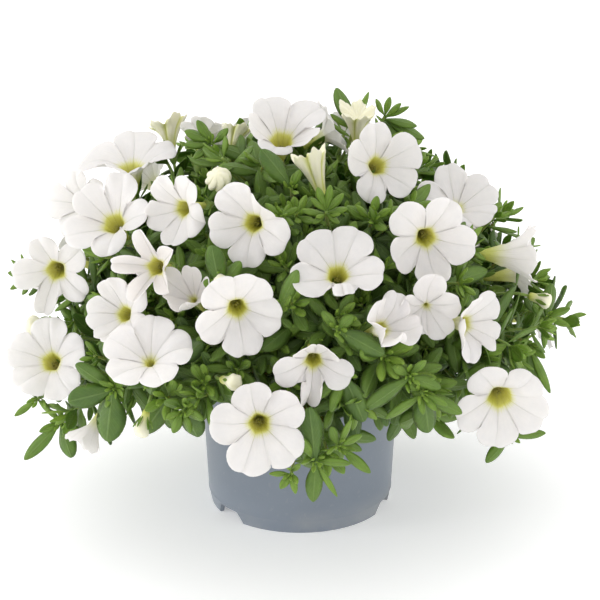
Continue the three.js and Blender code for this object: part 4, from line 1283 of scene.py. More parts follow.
def bored(piece, grids):
    """Cuts skins out of a piece with a Boolean modifier and applies it."""
    cutter = Piece("drill", [])
    for grid in grids:
        cutter.add(grid)
    tool = cutter.build([])
    cut = piece.modifiers.new("drain_holes", "BOOLEAN")
    cut.operation = "DIFFERENCE"
    cut.solver = "EXACT"
    cut.object = tool
    graph = bpy.context.evaluated_depsgraph_get()
    mesh = bpy.data.meshes.new_from_object(piece.evaluated_get(graph))
    piece.modifiers.clear()
    piece.data = mesh
    bpy.data.objects.remove(tool)
    if not len(mesh.polygons):
        raise RuntimeError("the drain holes took the whole pot away")


def wave_noise(points, size, seed):
    """Smooth noise of about -1 to 1: six products of two sine waves with seeded directions and
    phases, of which each is finer and weaker than the one before."""
    rng = np.random.default_rng(seed)
    total = np.zeros(points.shape[:-1])
    for k in range(6):
        direction = unit(rng.normal(size=(2, 3)))
        waves = 2 * math.pi / size * (1 + 0.35 * k)
        phase = rng.uniform(0, 2 * math.pi, 2)
        a = np.sin(points @ direction[0] * waves + phase[0])
        b = np.sin(points @ direction[1] * waves * 1.13 + phase[1])
        total += a * b / (1 + 0.3 * k)
    return total / 2.2


def soil_radius(z):
    """Radius of the soil's side at a height, clear of the pot's wall."""
    return wall_radius(z) - POT["wall"] - SOIL["clearance"]


def soil_grid():
    """Plug of soil: side walls follow the pot, and the crown swells by its height times
    (1 - (r/R)^2), with lumps of seeded noise that die out at the wall."""
    floor = POT["floor_height"] + POT["floor_thickness"] + SOIL["clearance"]
    foot, top = soil_radius(floor), soil_radius(SOIL["top"])
    profile = [(0.0, floor), (0.5 * foot, floor), (foot - 1, floor), (foot, floor + 1)]
    profile += [(soil_radius(z), z) for z in np.linspace(20, SOIL["top"] - 1, 6)]
    rings = np.linspace(1, 0, 34)[:-1]
    profile += [(top * share - 0.3, SOIL["top"] + SOIL["crown"] * (1 - share**2)) for share in rings]
    profile += [(0.0, SOIL["top"] + SOIL["crown"])]
    grid = turned(profile, SOIL_AROUND)
    r = np.hypot(grid[..., 0], grid[..., 1])
    calm = np.clip((top - r) / 4, 0, 1) * (grid[..., 2] > SOIL["top"] - 0.5)
    flat = grid * np.array([1.0, 1.0, 0.0])
    lumps = sum(share * wave_noise(flat, size, seed) for share, size, seed in SOIL_LUMPS)
    lumps = np.where(r > 0.5, lumps, lumps[:, -1:, :1])
    grid[..., 2] += calm * lumps * 1.1
    return grid


def crumb_grids(count, seed):
    """Crumbs: small balls, flattened and dented by noise, lying on the soil's crown."""
    rng = np.random.default_rng(seed)
    polar = np.linspace(0, math.pi, CRUMB_ROWS)
    ball = turned(np.stack([np.sin(polar), -np.cos(polar)], axis=-1), CRUMB_AROUND)
    reach = wall_radius(SOIL["top"]) - POT["wall"] - 4
    r = reach * np.sqrt(rng.uniform(0, 1, count))
    a = rng.uniform(0, 2 * math.pi, count)
    size = rng.uniform(0.5, 1.7, (count, 1, 1, 1)) * np.stack(
        [rng.uniform(0.7, 1.5, count), rng.uniform(0.6, 1.1, count), rng.uniform(0.5, 0.9, count)], axis=-1
    )[:, None, None]
    spin = rng.uniform(0, 2 * math.pi, count)[:, None, None]
    lump = ball * size
    x = lump[..., 0] * np.cos(spin) - lump[..., 1] * np.sin(spin)
    y = lump[..., 0] * np.sin(spin) + lump[..., 1] * np.cos(spin)
    z = SOIL["top"] + SOIL["crown"] * (1 - (r / (reach + 4)) ** 2) + 0.9
    place = np.stack([r * np.cos(a), r * np.sin(a), z], axis=-1)[:, None, None]
    grid = np.stack([x, y, lump[..., 2]], axis=-1) + place
    dents = 1 + 0.16 * wave_noise(grid, 2.4, seed + 1)
    dents[:, 0] = dents[:, 0, :1]
    dents[:, -1] = dents[:, -1, :1]
    return place + (grid - place) * dents[..., None]


# ------------ flowers

LOBES = 5
# Degrees from lobe to lobe, and from a flower's right to its first gap and first lobe before its roll.
LOBE_STEP = 72
FIRST_GAP = 126
FIRST_LOBE = 162
HALF_LOBE = math.pi / LOBES
LOBE_COLUMNS = 24
TUBE_ROWS = 6
LIMB_ROWS = 17
# Radius of the tube's inside at its foot, and how deep the inside and its closed end reach, over the
# tube's length.
BORE = 1.1
BORE_DEPTH = 0.92
PIT_DEPTH = 0.95
BUD_AROUND = 90
GREEN_BUD_AROUND = 24
# Keeps the direction of a vector without length finite.
TINY = 1e-12


def flower_axes(flower):
    """The flower's right, up and facing directions."""
    z = flower["facing"]
    x = unit(np.cross(UP, z))
    return x, np.cross(z, x), z


def in_plant_axes(flower, local):
    """Points from a flower's own axes to the plant's."""
    x, y, z = flower_axes(flower)
    return flower["at"] + local[..., :1] * x + local[..., 1:2] * y + local[..., 2:] * z


def lobe_measures(flower):
    """Arrays of reach, width, curl, fold, tilt, lift and shift of a flower's lobes: slight draws,
    then the flower's own values."""
    form_curl, number = FORMS[flower["form"]]["curl"], flower["number"]
    lobes = [
        {
            "reach": 0.96 + 0.08 * draw(number, k, 11),
            "width": 1.0 - 0.06 * draw(number, k, 12),
            "curl": form_curl + 26 * (draw(number, k, 13) - 0.5),
            "fold": 8.0 * draw(number, k, 14),
            "tilt": draw(number, k, 15) - 0.5,
            "lift": 8.0 * draw(number, k, 17),
            "shift": 8.0 * (draw(number, k, 18) - 0.5),
        }
        for k in range(LOBES)
    ]
    for angle, own in OWN_LOBES.get(number, {}).items():
        lobes[nearest_angle(flower["roll"] + FIRST_LOBE, angle)].update(own)
    return {key: np.array([lobe[key] for lobe in lobes]) for key in lobes[0]}


def nearest_angle(first, angle):
    """Which of five angles, a lobe apart from the first on, is nearest to an angle, in degrees."""
    angles = first + LOBE_STEP * np.arange(LOBES)
    return int(np.argmin(np.abs((angles - angle + 180) % 360 - 180)))


def gap_shares(flower):
    """Radius between each lobe and the one before it, over the limb's radius."""
    number, form = flower["number"], FORMS[flower["form"]]
    gaps = [form["sinus"] + form["spread"] * (draw(number, k, 16) - 0.5) for k in range(LOBES)]
    for angle, share in OWN_GAPS.get(number, {}).items():
        gaps[nearest_angle(flower["roll"] + FIRST_GAP, angle)] = share
    return np.array(gaps)


def limb_rim(flower, own, w, lobe):
    """Flat radius of the limb at its rim and at the throat's mouth, by column."""
    form = FORMS[flower["form"]]
    p, q = form["round"]
    gaps = gap_shares(flower)
    sinus = gaps[lobe] * (1 - w) + np.roll(gaps, -1)[lobe] * w
    centred = 2 * w - 1
    reach = sinus + (own["reach"] - sinus) * (1 - np.abs(centred) ** p) ** q
    reach = reach - 0.03 * np.exp(-((centred / 0.16) ** 2))
    rim = flower["radius"] * np.where(np.abs(centred) > 0.999, sinus, reach)
    opening = OWN_THROATS.get(flower["number"], form["throat"])
    return rim, flower["radius"] * opening * (1 + 0.06 * np.cos(math.pi * centred))


def limb_columns(flower, own, s, rim, throat, envelope):
    """Radius and height of the limb's points: lines from the throat to the rim, bent by the cup, by
    the lobe's lift near the throat and by its curl farther out."""
    steps = np.diff(s, axis=0)
    between = (s[1:] + s[:-1]) / 2
    forward = (rim - throat) * steps
    upward = flower["cup"] * (0.8 + 0.22 * envelope) * (1.35 - 0.7 * between) * steps
    bend = smooth_step((between - 0.3) / 0.7)
    root = smooth_step(between / 0.25)
    slope = np.arctan2(upward, forward) + 0.6 * np.exp(-((between / 0.07) ** 2))
    slope = slope + np.radians(own["curl"] * bend + own["lift"] * root) * envelope
    step = np.hypot(upward, forward)
    start = np.zeros((1, len(rim)))
    r = throat + np.concatenate([start, np.cumsum(step * np.cos(slope), axis=0)])
    return r, np.concatenate([start, np.cumsum(step * np.sin(slope), axis=0)])


def with_relief(flower, own, s, r, height, w, lobe, envelope):
    """The limb's height with a crease down each lobe's middle, a puff on either side of it, a fold
    shut, a ripple at the rim and a tilt."""
    radius, number = flower["radius"], flower["number"]
    centred = 2 * w - 1
    crease = np.exp(-((centred / 0.1) ** 2))
    puff = np.sin(math.pi * np.abs(centred)) ** 2
    height = height + radius * (0.05 * puff * (s * (1.15 - s)) - 0.05 * crease * s * (1.1 - 0.6 * s))
    fold = np.tan(np.minimum(np.radians(own["fold"]), 1.1))
    bend = smooth_step((s - 0.3) / 0.7)
    height = height + fold * np.abs(centred) * r * HALF_LOBE * bend * envelope * 0.5
    phase = 2 * math.pi * np.array([draw(number, k, 21) for k in range(LOBES)])[lobe]
    waves = np.sin(2.6 * math.pi * w * 2 + phase) + 0.5 * np.sin(5.3 * math.pi * w + 1.7 * phase)
    height = height + radius * 0.028 * waves * s**3 * envelope
    return height + own["tilt"] * radius * 0.16 * s**2 * centred * envelope


def limb_grid(flower, rows=LIMB_ROWS, columns=LOBE_COLUMNS):
    """The limb's face from the throat's mouth (row 0) to its rim, rows x around x 3, in the
    flower's own axes, and each column's place w across its lobe.

    Each column is a bent line. Its flat radius grows evenly from the throat to the lobe's outline
    R (sinus + (reach - sinus)(1 - |2w-1|^p)^q), its height as cup (1.35 s - 0.35 s^2), and its slope
    then gets the lobe's curl times a smooth step in s. Columns next to a gap are pushed past it,
    one lobe's over and the other's under.
    """
    radius = flower["radius"]
    even = np.arange(columns) / columns
    w = np.tile(even - 0.7 * np.sin(4 * math.pi * even) / (4 * math.pi), LOBES)
    lobe = np.repeat(np.arange(LOBES), columns)
    own = {key: values[lobe] for key, values in lobe_measures(flower).items()}
    centred = 2 * w - 1
    envelope = np.sin(math.pi * w) ** 0.6
    s = np.linspace(0, 1, rows)[:, None] ** 1.3
    rim, throat = limb_rim(flower, own, w, lobe)
    r, height = limb_columns(flower, own, s, rim, throat, envelope)
    # Sideways: narrow lobes draw in, whole ones reach past the gap between them.
    off = 1 - np.abs(centred)
    near = np.exp(-((off / 0.22) ** 2)) * (1 - np.exp(-((off / 0.035) ** 2)))
    outer = np.clip((s - 0.35) / 0.65, 0, 1) ** 1.2
    turn = centred * HALF_LOBE * (1 - (1 - own["width"]) * outer)
    turn = turn + np.radians(own["shift"]) * (1 - centred**2) * outer
    overlap = 0.05 * np.where(own["width"] > 0.8, 1, 0) * (flower["form"] in ("open", "half"))
    turn = turn + np.sign(centred) * overlap * near * outer
    height = height - np.sign(centred) * near * outer * 0.045 * radius * (overlap > 0)
    height = with_relief(flower, own, s, r, height, w, lobe, envelope)
    angle = math.radians(flower["roll"] + FIRST_GAP) + (2 * lobe + 1) * HALF_LOBE + turn
    return np.stack([r * np.cos(angle), r * np.sin(angle), height], axis=-1), w


def smooth_step(x):
    """3x^2 - 2x^3 on x held between 0 and 1."""
    x = np.clip(x, 0, 1)
    return x * x * (3 - 2 * x)


def grid_normals(grid):
    """Unit normals of a rows x around x 3 grid: the cross product of its two steps."""
    along = np.gradient(grid, axis=0)
    round_step = np.roll(grid, -1, axis=1) - np.roll(grid, 1, axis=1)
    return unit(np.cross(along, round_step) + TINY)


def flower_grid(flower, thickness):
    """A whole corolla as one closed skin in the plant's axes, with its attribute grids.

    Rows run up the outside of the tube, over the limb's back, round the rim, down the limb's face
    and into the tube. The back is the face moved by the thickness along its normals, and the tube's
    inside narrows from the throat T to the bore B as B + (T - B)(1 - depth)^1.25.
    """
    tube = FORMS[flower["form"]]["tube"]
    face, w = limb_grid(flower)
    throat = np.hypot(face[0, :, 0], face[0, :, 1])
    angle = np.arctan2(face[0, :, 1], face[0, :, 0])
    ring = np.stack([np.cos(angle), np.sin(angle), 0 * angle], axis=-1)
    depth = np.linspace(0, 1, TUBE_ROWS + 1)[1:, None]
    bore = BORE + (throat - BORE) * (1 - depth) ** 1.25
    ribbed = bore * (1 + 0.04 * np.cos(2 * math.pi * w) * np.sin(math.pi * depth))
    inner = ring * ribbed[..., None] - UP * (BORE_DEPTH * tube * depth)[..., None]
    # Thickness thins to half at the rim.
    share = np.concatenate([np.ones(TUBE_ROWS), np.linspace(1, 0.5, len(face))])[:, None, None]
    sheet = np.concatenate([inner[::-1], face])
    sheet = sheet - grid_normals(sheet) * thickness * share
    outer, back = sheet[:TUBE_ROWS], sheet[TUBE_ROWS::2]
    rim = (face[-1:] + back[-1:]) / 2 + unit(face[-1:] - face[-2:-1]) * thickness * 0.25
    base = np.zeros((1, len(w), 3)) - UP * (tube + 0.2)
    pit = np.zeros((1, len(w), 3)) - UP * PIT_DEPTH * tube
    local = np.concatenate([base, outer, back, rim, face[::-1], inner, pit])
    limb = np.linspace(0, 1, len(face))
    reach = np.concatenate([[-1], -depth[::-1, 0], limb[::2], [1], limb[::-1], -depth[:, 0], [-1]])
    side = np.concatenate(
        [np.zeros(1 + len(outer) + len(back)), [0.5], np.ones(len(face) + TUBE_ROWS + 1)]
    )
    turn = np.arange(len(w)) / len(w)
    values = {
        "reach": (reach[:, None] + 0 * w)[None],
        "side": (side[:, None] + 0 * w)[None],
        "edge": (np.abs(2 * w - 1) + 0 * reach[:, None])[None],
        "turn": (np.minimum(turn, 1 - turn) + 0 * reach[:, None])[None],
    }
    return in_plant_axes(flower, local)[None], values


def anther_grids(flower):
    """Five anthers and the stigma: small eggs just inside the throat's mouth."""
    x, y, z = flower_axes(flower)
    at = flower["at"]
    throat = flower["radius"] * FORMS[flower["form"]]["throat"]
    polar = np.linspace(0, math.pi, 6)
    egg = np.stack([0.5 * np.sin(polar), -0.75 * np.cos(polar)], axis=-1)
    starts, axes = [], []
    for k in range(LOBES):
        a = math.radians(72 * k + flower["roll"] + 40 * draw(flower["number"], k, 31))
        out = x * math.cos(a) + y * math.sin(a)
        depth = 3.4 + 1.8 * draw(flower["number"], k, 32)
        starts.append(at + out * throat * 0.26 - z * depth)
        axes.append(z + 0.4 * out)
    starts.append(at - z * 3.2)
    axes.append(z)
    return placed(egg, starts, axes, 8)


# Profiles of the opening buds, as heights over the bud's length and radii over its radius. The vase
# goes on inside it, inward from the rim and down.
SWIRL_HEIGHTS = (0, 0.02, 0.12, 0.25, 0.4, 0.55, 0.68, 0.8, 0.9, 0.97, 1.0, 1.0)
SWIRL_RADII = (0, 0.26, 0.3, 0.46, 0.76, 0.97, 1.02, 0.95, 0.74, 0.42, 0.16, 0.0)
VASE_HEIGHTS = (0, 0.0, 0.1, 0.2, 0.32, 0.45, 0.58, 0.7, 0.8, 0.89, 0.96, 1.0)
VASE_RADII = (0, 0.26, 0.27, 0.31, 0.39, 0.49, 0.61, 0.73, 0.83, 0.92, 0.99, 1.03)
VASE_INWARD = (0.93, 0.8, 0.62, 0.42, 0.2, 0.0)
VASE_DOWN = (0.04, 0.12, 0.3, 0.55, 0.85, 1.0)


def swirled(angles):
    """A bud that is still shut, an egg with seven pleats that turn with height: heights, radii, the
    pleats' wave and what they multiply the radii by."""
    steps = np.linspace(0, 1, 40)
    given = np.linspace(0, 1, len(SWIRL_HEIGHTS))
    h, r = np.interp(steps, given, SWIRL_HEIGHTS), np.interp(steps, given, SWIRL_RADII)
    wave = np.abs(np.cos(3.5 * (angles - 1.5 * h[:, None] ** 1.4)))
    return h, r, wave, 1 + 0.2 * np.clip(2.2 * h, 0, 1)[:, None] * (1.4 * wave**0.6 - 1)


def unrolling(angles, opened):
    """A slim vase, pleated five ways, whose rim flares and is hollow as far as it has opened, as
    the same four."""
    h, r = np.array(VASE_HEIGHTS), np.array(VASE_RADII)
    r = r + 0.34 * opened * smooth_step((h - 0.62) / 0.38) ** 1.6
    h = np.concatenate([h, 1 - (0.12 + 0.35 * opened) * np.array(VASE_DOWN)])
    r = np.concatenate([r, r[-1] * np.array(VASE_INWARD)])
    wave = np.abs(np.cos(2.5 * (angles - 0.5 * h[:, None])))
    ribs = np.abs(np.cos(7.5 * (angles - 0.5 * h[:, None])))
    deep = np.clip(1.4 * h, 0, 1)[:, None]
    return h, r, wave, 1 + deep * (0.24 * (1.5 * wave**0.7 - 1) + 0.07 * (ribs - 0.6))


def opening_bud_grid(bud):
    """An opening bud as one closed skin, with its attribute grids."""
    at, yaw, pitch, length, radius, opened = bud
    axis = heading(yaw, pitch)
    foot = np.array(at, float) - axis * length
    angles = ring_angles(BUD_AROUND)
    h, r, wave, pleat = unrolling(angles, opened) if opened else swirled(angles)
    grid = placed(np.stack([r * radius, h * length], axis=-1), [foot], [axis], BUD_AROUND, pleat)
    if opened:
        near_rim = np.exp(-(((h - 1) / 0.16) ** 2))[:, None] * (r > 0)[:, None]
        lobed = 0.07 * np.cos(5 * (angles - 0.5)) + 0.03 * np.cos(15 * angles)
        scallop = lobed + 0.08 * np.cos(angles + yaw) + 0.04 * np.cos(3 * angles)
        grid = grid + (near_rim * scallop * length)[None, ..., None] * axis
    # The pleats show on the outside only.
    outside = (np.arange(len(r)) <= np.argmax(r))[:, None]
    values = {"along": (h[:, None] + 0 * angles)[None], "fold": ((1 - wave) * outside)[None]}
    return grid, values


# ------------ leafy stems

SHOOT_SEED = 5
# How far before a flower's mouth shoots and leaves keep out of its view, and how far before the
# flowers and buds that are seen from the side.
SHOOT_VIEW, LEAF_VIEW, SIDE_VIEW = 45, 70, 60
LOWEST_RISE = math.radians(-26)
# Flowers by number, whose tubes the front view shows, and the rise of that view.
SEEN_FROM_THE_SIDE = (3, 6, 10, 11, 13, 22, 27)
VIEW_RISE = math.radians(20.7)
GOLDEN = math.radians(137.5)
# Tufts of young leaves at the ends of twigs: their distances back from the end, and what each leaf
# adds to the share of the full length, to the splay in degrees and to the age of the one before.
TUFTS = {
    "tip": ((0.2, 0.5, 0.9, 1.3, 1.9, 2.6, 3.4), 0.06, 6, 0.03),
    "shoot": ((0.2, 0.5, 0.9, 1.4, 2.1, 3.0, 4.2, 5.6, 7.4, 9.6), 0.078, 6.2, 0.07),
}
# Materials of a leafy stem, by their slots.
LEAF_SLOT, STEM_SLOT, BUD_SLOT = range(3)
# How far a leaf may reach past the solids' box, and the lowest that it may hang.
BOX_SLACK = 9.0
LOWEST_LEAF = 20.0
# Places along a leaf that are tested against the flowers, and the share of its half width there.
TEST_PLACES = np.array([[0.12, 0.4, 0.7, 1.0]])
TEST_HALVES = np.array([[0.2, 0.8, 0.9, 0.0]])
# Main stems and twigs as tubes: radii at both ends (a twig's are shares of the twigs' radius), sides,
# rows, and age from foot to end.
STEM_TUBE = {"radii": (2.0, 1.5), "around": 12, "rows": 24, "ages": (1.0, 0.8)}
TWIG_TUBE = {"radii": (1.15, 0.85), "around": 7, "rows": 16, "ages": (0.9, 0.35)}


def bloom_measures(flowers):
    """Mouths, axes and limb radii of flowers, as three arrays."""
    return [np.array([flower[key] for flower in flowers]) for key in ("at", "facing", "radius")]


def side_shoots(flowers, bloom_wall, count, seed):
    """More leafy side shoots, spread evenly over the mound between the flowers. Directions follow
    the golden angle, and a shoot is left out if its place or its way is taken by a flower."""
    rng = np.random.default_rng(seed)
    stem_points = stem_lines()
    mouths, axes, radii = bloom_measures(flowers)
    lowest = math.sin(LOWEST_RISE)
    shoots = []
    for k in range(count):
        rise = math.degrees(math.asin(lowest + (0.99 - lowest) * (k + 0.5) / count))
        yaw = math.degrees(k * GOLDEN) % 360
        # The mound's lower edge is higher in front than behind.
        if rise < -15 + 9 * math.cos(math.radians(yaw)):
            continue
        share = rng.uniform(0.74, 0.95)
        end = on_mound(yaw, rise, share)
        facing = heading(yaw + rng.uniform(-30, 30), 10 + 0.7 * rise + rng.uniform(-15, 20))
        offset = end + facing * 6 - mouths
        ahead = np.sum(offset * axes, axis=1)
        aside = np.linalg.norm(offset - ahead[:, None] * axes, axis=1)
        if np.any((ahead > -2) & (ahead < SHOOT_VIEW) & (aside < 0.8 * radii)):
            continue
        stem = nearest_stem(end)
        curve = twig_curve(stem_points[stem], rng.uniform(0.5, 1.0) * 0.99, end, facing)
        path = bezier(curve, np.linspace(0, 1, 12))
        if any(crosses(bloom_wall, a, b) for a, b in zip(path[:-1], path[1:])):
            continue
        length, turn = rng.uniform(17, 25), rng.uniform(0, 2 * math.pi)
        shoots.append(plan("shoot", end, facing, [0.0], [], length, stem=stem, curve=curve, turn=turn))
    return shoots


def shown_shoots():
    """The shoots of SHOWN_SHOOTS, each with its own leaves as rows."""
    stem_points = stem_lines()
    shoots = []
    for end, yaw, pitch, leaves in SHOWN_SHOOTS:
        end = np.array(end, float)
        facing = heading(yaw, pitch)
        stem = nearest_stem(end)
        curve = twig_curve(stem_points[stem], 0.8, end, facing)
        rows = []
        for k, (right, over, before, width) in enumerate(leaves):
            root = end - facing * 0.5 * k
            span = np.array([right, -before, over]) + 0.5 * k * facing
            rows.append(leaf_between(root, span, facing, width))
        own = {"stem": stem, "curve": curve, "turn": 0.7 * len(shoots), "own": np.array(rows)}
        shoots.append(plan("tip", end, facing, [8.0], [], 13.0, **own))
    return shoots


def leaf_between(root, span, along, width):
    """A leaf from its root over a span to its tip. Its splay s solves (cos s - back) / sin s = the
    span's share along the shoot over its share away from it."""
    back = 0.1
    ahead = span @ along
    aside = span - along * ahead
    away = unit(aside)
    ratio = ahead / np.linalg.norm(aside)
    splay = math.acos(back / math.hypot(1, ratio)) - math.atan(ratio)
    length = np.linalg.norm(aside) / math.sin(splay)
    age = min(0.9, 0.1 + width / 13)
    return leaf_row(root, along, np.cross(along, away), away, length, width, splay, back, age)


def crosses(wall, a, b):
    """Whether the straight line between two points, in mm, meets the wall."""
    line = Vector(b - a)
    return wall.ray_cast(Vector(a), line.normalized(), line.length)[0] is not None


def bloom_walls(flowers):
    """The flowers' limbs as one tree of faces, for finding what would pass through them."""
    points, faces = [], []
    for flower in flowers:
        limb = in_plant_axes(flower, limb_grid(flower, rows=7, columns=8)[0])
        faces.extend(band_quads(len(points), *limb.shape[:2]).tolist())
        points.extend(map(tuple, limb.reshape(-1, 3)))
    return BVHTree.FromPolygons(points, faces)


def twig_frames(curve, count):
    """Points, tangents and a pair of carried-along normals at even steps of the curve."""
    t = np.linspace(0, 1, count)
    points, tangents = bezier(curve, t), bezier_tangent(curve, t)
    normal = first_normal(tangents[0])
    normals = []
    for tangent in tangents:
        normal = unit(normal - tangent * (normal @ tangent))
        normals.append(normal)
    normals = np.array(normals)
    return points, tangents, normals, np.cross(tangents, normals)


def read_off(values, run, at):
    """Rows of values that belong to the lengths run, read off at one length between them."""
    return np.array([np.interp(at, run, column) for column in values.T])


def more_leaves(twig, rng):
    """Leaves along a twig beyond those of the solids, by the golden angle: a tuft of small young
    ones at a tip, and grown ones spaced along the rest."""
    points, *frames = twig_frames(twig["curve"], 40)
    run = np.concatenate([[0], np.cumsum(np.linalg.norm(np.diff(points, axis=0), axis=1))])
    total = run[-1]
    backs, longer, wider, older = TUFTS.get(twig["kind"], ((), 0, 0, 0))
    stations = [(b, 0.3 + longer * k, 8 + wider * k, 0.02 + older * k) for k, b in enumerate(backs)]
    if twig["kind"] == "tip":
        start = max(twig["stations"]) + 3.5
    elif twig["kind"] == "shoot":
        start = 12.5
    else:
        start = 12.0 if twig["leafy"] else 7.0
    while start < 0.72 * total:
        stations.append((start, rng.uniform(0.85, 1.25), rng.uniform(48, 78), rng.uniform(0.55, 1.0)))
        start += rng.uniform(4.2, 6.4)
    rows = []
    for k, (back, share, splay, age) in enumerate(stations):
        root = read_off(points, run, total - back)
        tangent, normal, cross = (unit(read_off(part, run, total - back)) for part in frames)
        angle = twig["turn"] + GOLDEN * k + rng.uniform(-0.25, 0.25)
        away = normal * math.cos(angle) + cross * math.sin(angle)
        across = np.cross(tangent, away)
        length = max(4.0, twig["length"] * share * rng.uniform(0.88, 1.12))
        width = length * rng.uniform(0.3, 0.36 + 0.2 * max(0, age - 0.3))
        splay = math.radians(splay + rng.uniform(-5, 5))
        bend = rng.uniform(0.04, 0.24)
        rows.append(leaf_row(root + away * 0.5, tangent, across, away, length, width, splay, bend, age))
    return np.array(rows).reshape(-1, LEAF_COLUMNS)


def side_shapes(flowers):
    """Buds and tubes that the front view shows from the side: both ends and a radius to keep free."""
    shapes = []
    for at, yaw, pitch, length, radius, _ in OPENING_BUDS:
        shapes.append((np.array(at, float) - heading(yaw, pitch) * length, np.array(at, float), radius))
    for flower in flowers:
        if flower["number"] in SEEN_FROM_THE_SIDE:
            axis, at = flower["facing"], flower["at"]
            shapes.append((at - axis * 10, at + axis * flower["cup"], 0.4 * flower["radius"]))
    return shapes


def in_the_way(samples, shapes):
    """Whether points stand before one of the shapes in the front view, within its radius of the
    line between its ends, or inside it."""
    view = np.array([0.0, -math.cos(VIEW_RISE), math.sin(VIEW_RISE)])
    hit = np.zeros(samples.shape[:2], bool)
    for start, end, radius in shapes:
        run = end - start
        flat = run - view * (run @ view)
        offset = samples - start
        share = np.clip((offset @ flat) / (flat @ flat), 0, 1)[..., None]
        away = offset - share * run
        ahead = away @ view
        aside = np.linalg.norm(away - ahead[..., None] * view, axis=-1)
        hit |= (aside < 0.9 * radius) & (ahead > -radius) & (ahead < SIDE_VIEW)
    return hit.any(axis=1)


def clear_leaves(leaves, bloom_wall, flowers):
    """Which leaves keep out of the flowers: neither through a limb nor in front of its face."""
    middle = leaf_middle(leaves, TEST_PLACES)
    half = leaves[:, None, ACROSS] * (leaves[:, WIDTH, None] / 2 * TEST_HALVES)[..., None]
    mouths, axes, radii = bloom_measures(flowers)
    samples = np.concatenate([middle, middle + half, middle - half], axis=1)
    offset = samples[:, :, None] - mouths
    ahead = np.sum(offset * axes, axis=-1)
    aside = np.linalg.norm(offset - ahead[..., None] * axes, axis=-1)
    front = (ahead > 0.1 * radii) & (ahead < LEAF_VIEW) & (aside < 0.9 * radii)
    pot_r = np.hypot(samples[..., 0], samples[..., 1])
    in_pot = (samples[..., 2] < POT["height"] + 0.5) & (pot_r < POT["rim_radius"] + 1.0)
    keep = ~front.any(axis=(1, 2)) & ~in_pot.any(axis=1)
    keep &= ~in_the_way(samples, side_shapes(flowers))
    for i in np.flatnonzero(keep):
        lines = [middle[i], middle[i] + half[i], middle[i] - half[i]]
        cut = any(crosses(bloom_wall, a, b) for line in lines for a, b in zip(line[:-1], line[1:]))
        cut = cut or any(crosses(bloom_wall, a, b) for a, b in zip(lines[1][1:3], lines[2][1:3]))
        keep[i] = not cut
    return keep


def inside_box(leaves):
    """Which leaves end within the solids' box, with a little to spare beyond it."""
    tips = leaf_middle(leaves, np.array([[0.6, 1.0]]))
    low, high = np.array(CAD_BOX[0]) / MM - BOX_SLACK, np.array(CAD_BOX[1]) / MM + BOX_SLACK
    low[2] = LOWEST_LEAF
    return np.all((tips > low) & (tips < high), axis=(1, 2))


def leaf_grid(leaves, thickness):
    """Leaves as closed skins: an oval outline about the middle line, fuller in old leaves, keeled
    along it, with the two faces a thickness apart and meeting at the gently waved margins."""
    u = LEAF_ROWS[None]
    middle, top = leaf_middle(leaves, u), leaf_tops(leaves, u)
    width, age = leaves[:, WIDTH, None, None], leaves[:, AGE, None, None]
    breadth = LEAF_BREADTH[None, :, None] ** (1.3 - 0.5 * age)
    across = LEAF_ACROSS[None, None]
    aside = width / 2 * breadth * across
    keel = 0.16 * width * breadth * np.abs(across) ** 1.6
    seed = leaves[:, 0, None, None] * 1.7 + leaves[:, 1, None, None]
    wave = 0.05 * width * np.abs(across) ** 2 * np.sin(7 * u[..., None] + 3 * across + seed) * breadth
    rib = np.where(across == 0, 1.5, 1.0)
    skin = thickness / 2 * LEAF_FACE[None, None] * np.minimum(1, breadth * 3) * rib
    # The face looks towards the shoot's tip, which is against the leaf's own top direction.
    lifted = skin - keel + wave
    sideways = leaves[:, None, None, ACROSS]
    grid = middle[:, :, None] + aside[..., None] * sideways + lifted[..., None] * top[:, :, None]
    shape = grid.shape[:3]
    values = {
        "along": np.broadcast_to(u[..., None], shape),
        "across": np.broadcast_to(across, shape),
        "age": np.broadcast_to(age, shape),
    }
    return grid, values


def tube_grid(curves, radii, around, rows, ages):
    """Twigs or stems: circles carried along each curve, from one closed end to the other."""
    grids = []
    angles = ring_angles(around)
    r = np.linspace(*radii, rows)[:, None, None]
    for curve in curves:
        points, _, normals, binormals = twig_frames(curve, rows)
        ring = np.cos(angles)[:, None] * normals[:, None] + np.sin(angles)[:, None] * binormals[:, None]
        body = points[:, None] + r * ring
        start = np.broadcast_to(points[:1, None], (1, around, 3))
        end = np.broadcast_to(points[-1:, None], (1, around, 3))
        grids.append(np.concatenate([start, body, end]))
    age = np.concatenate([[ages[0]], np.linspace(*ages, rows), [ages[1]]])[None, :, None]
    return np.array(grids), {"age": age, "along": 0.5, "across": 0.5}


def calyx_grid(twigs):
    """Calyx cups: a turned profile that widens to the mouth and is hollow at its top."""
    r = [0, 0.9, 1.5, 2.0, 2.35, 2.5, 2.2, 1.9, 0]
    h = [-0.8, -0.6, 0.5, 1.6, 3.0, 4.3, 4.2, 3.4, 3.2]
    starts = [twig["end"] for twig in twigs]
    return placed(np.stack([r, h], axis=-1), starts, [twig["facing"] for twig in twigs], 10)


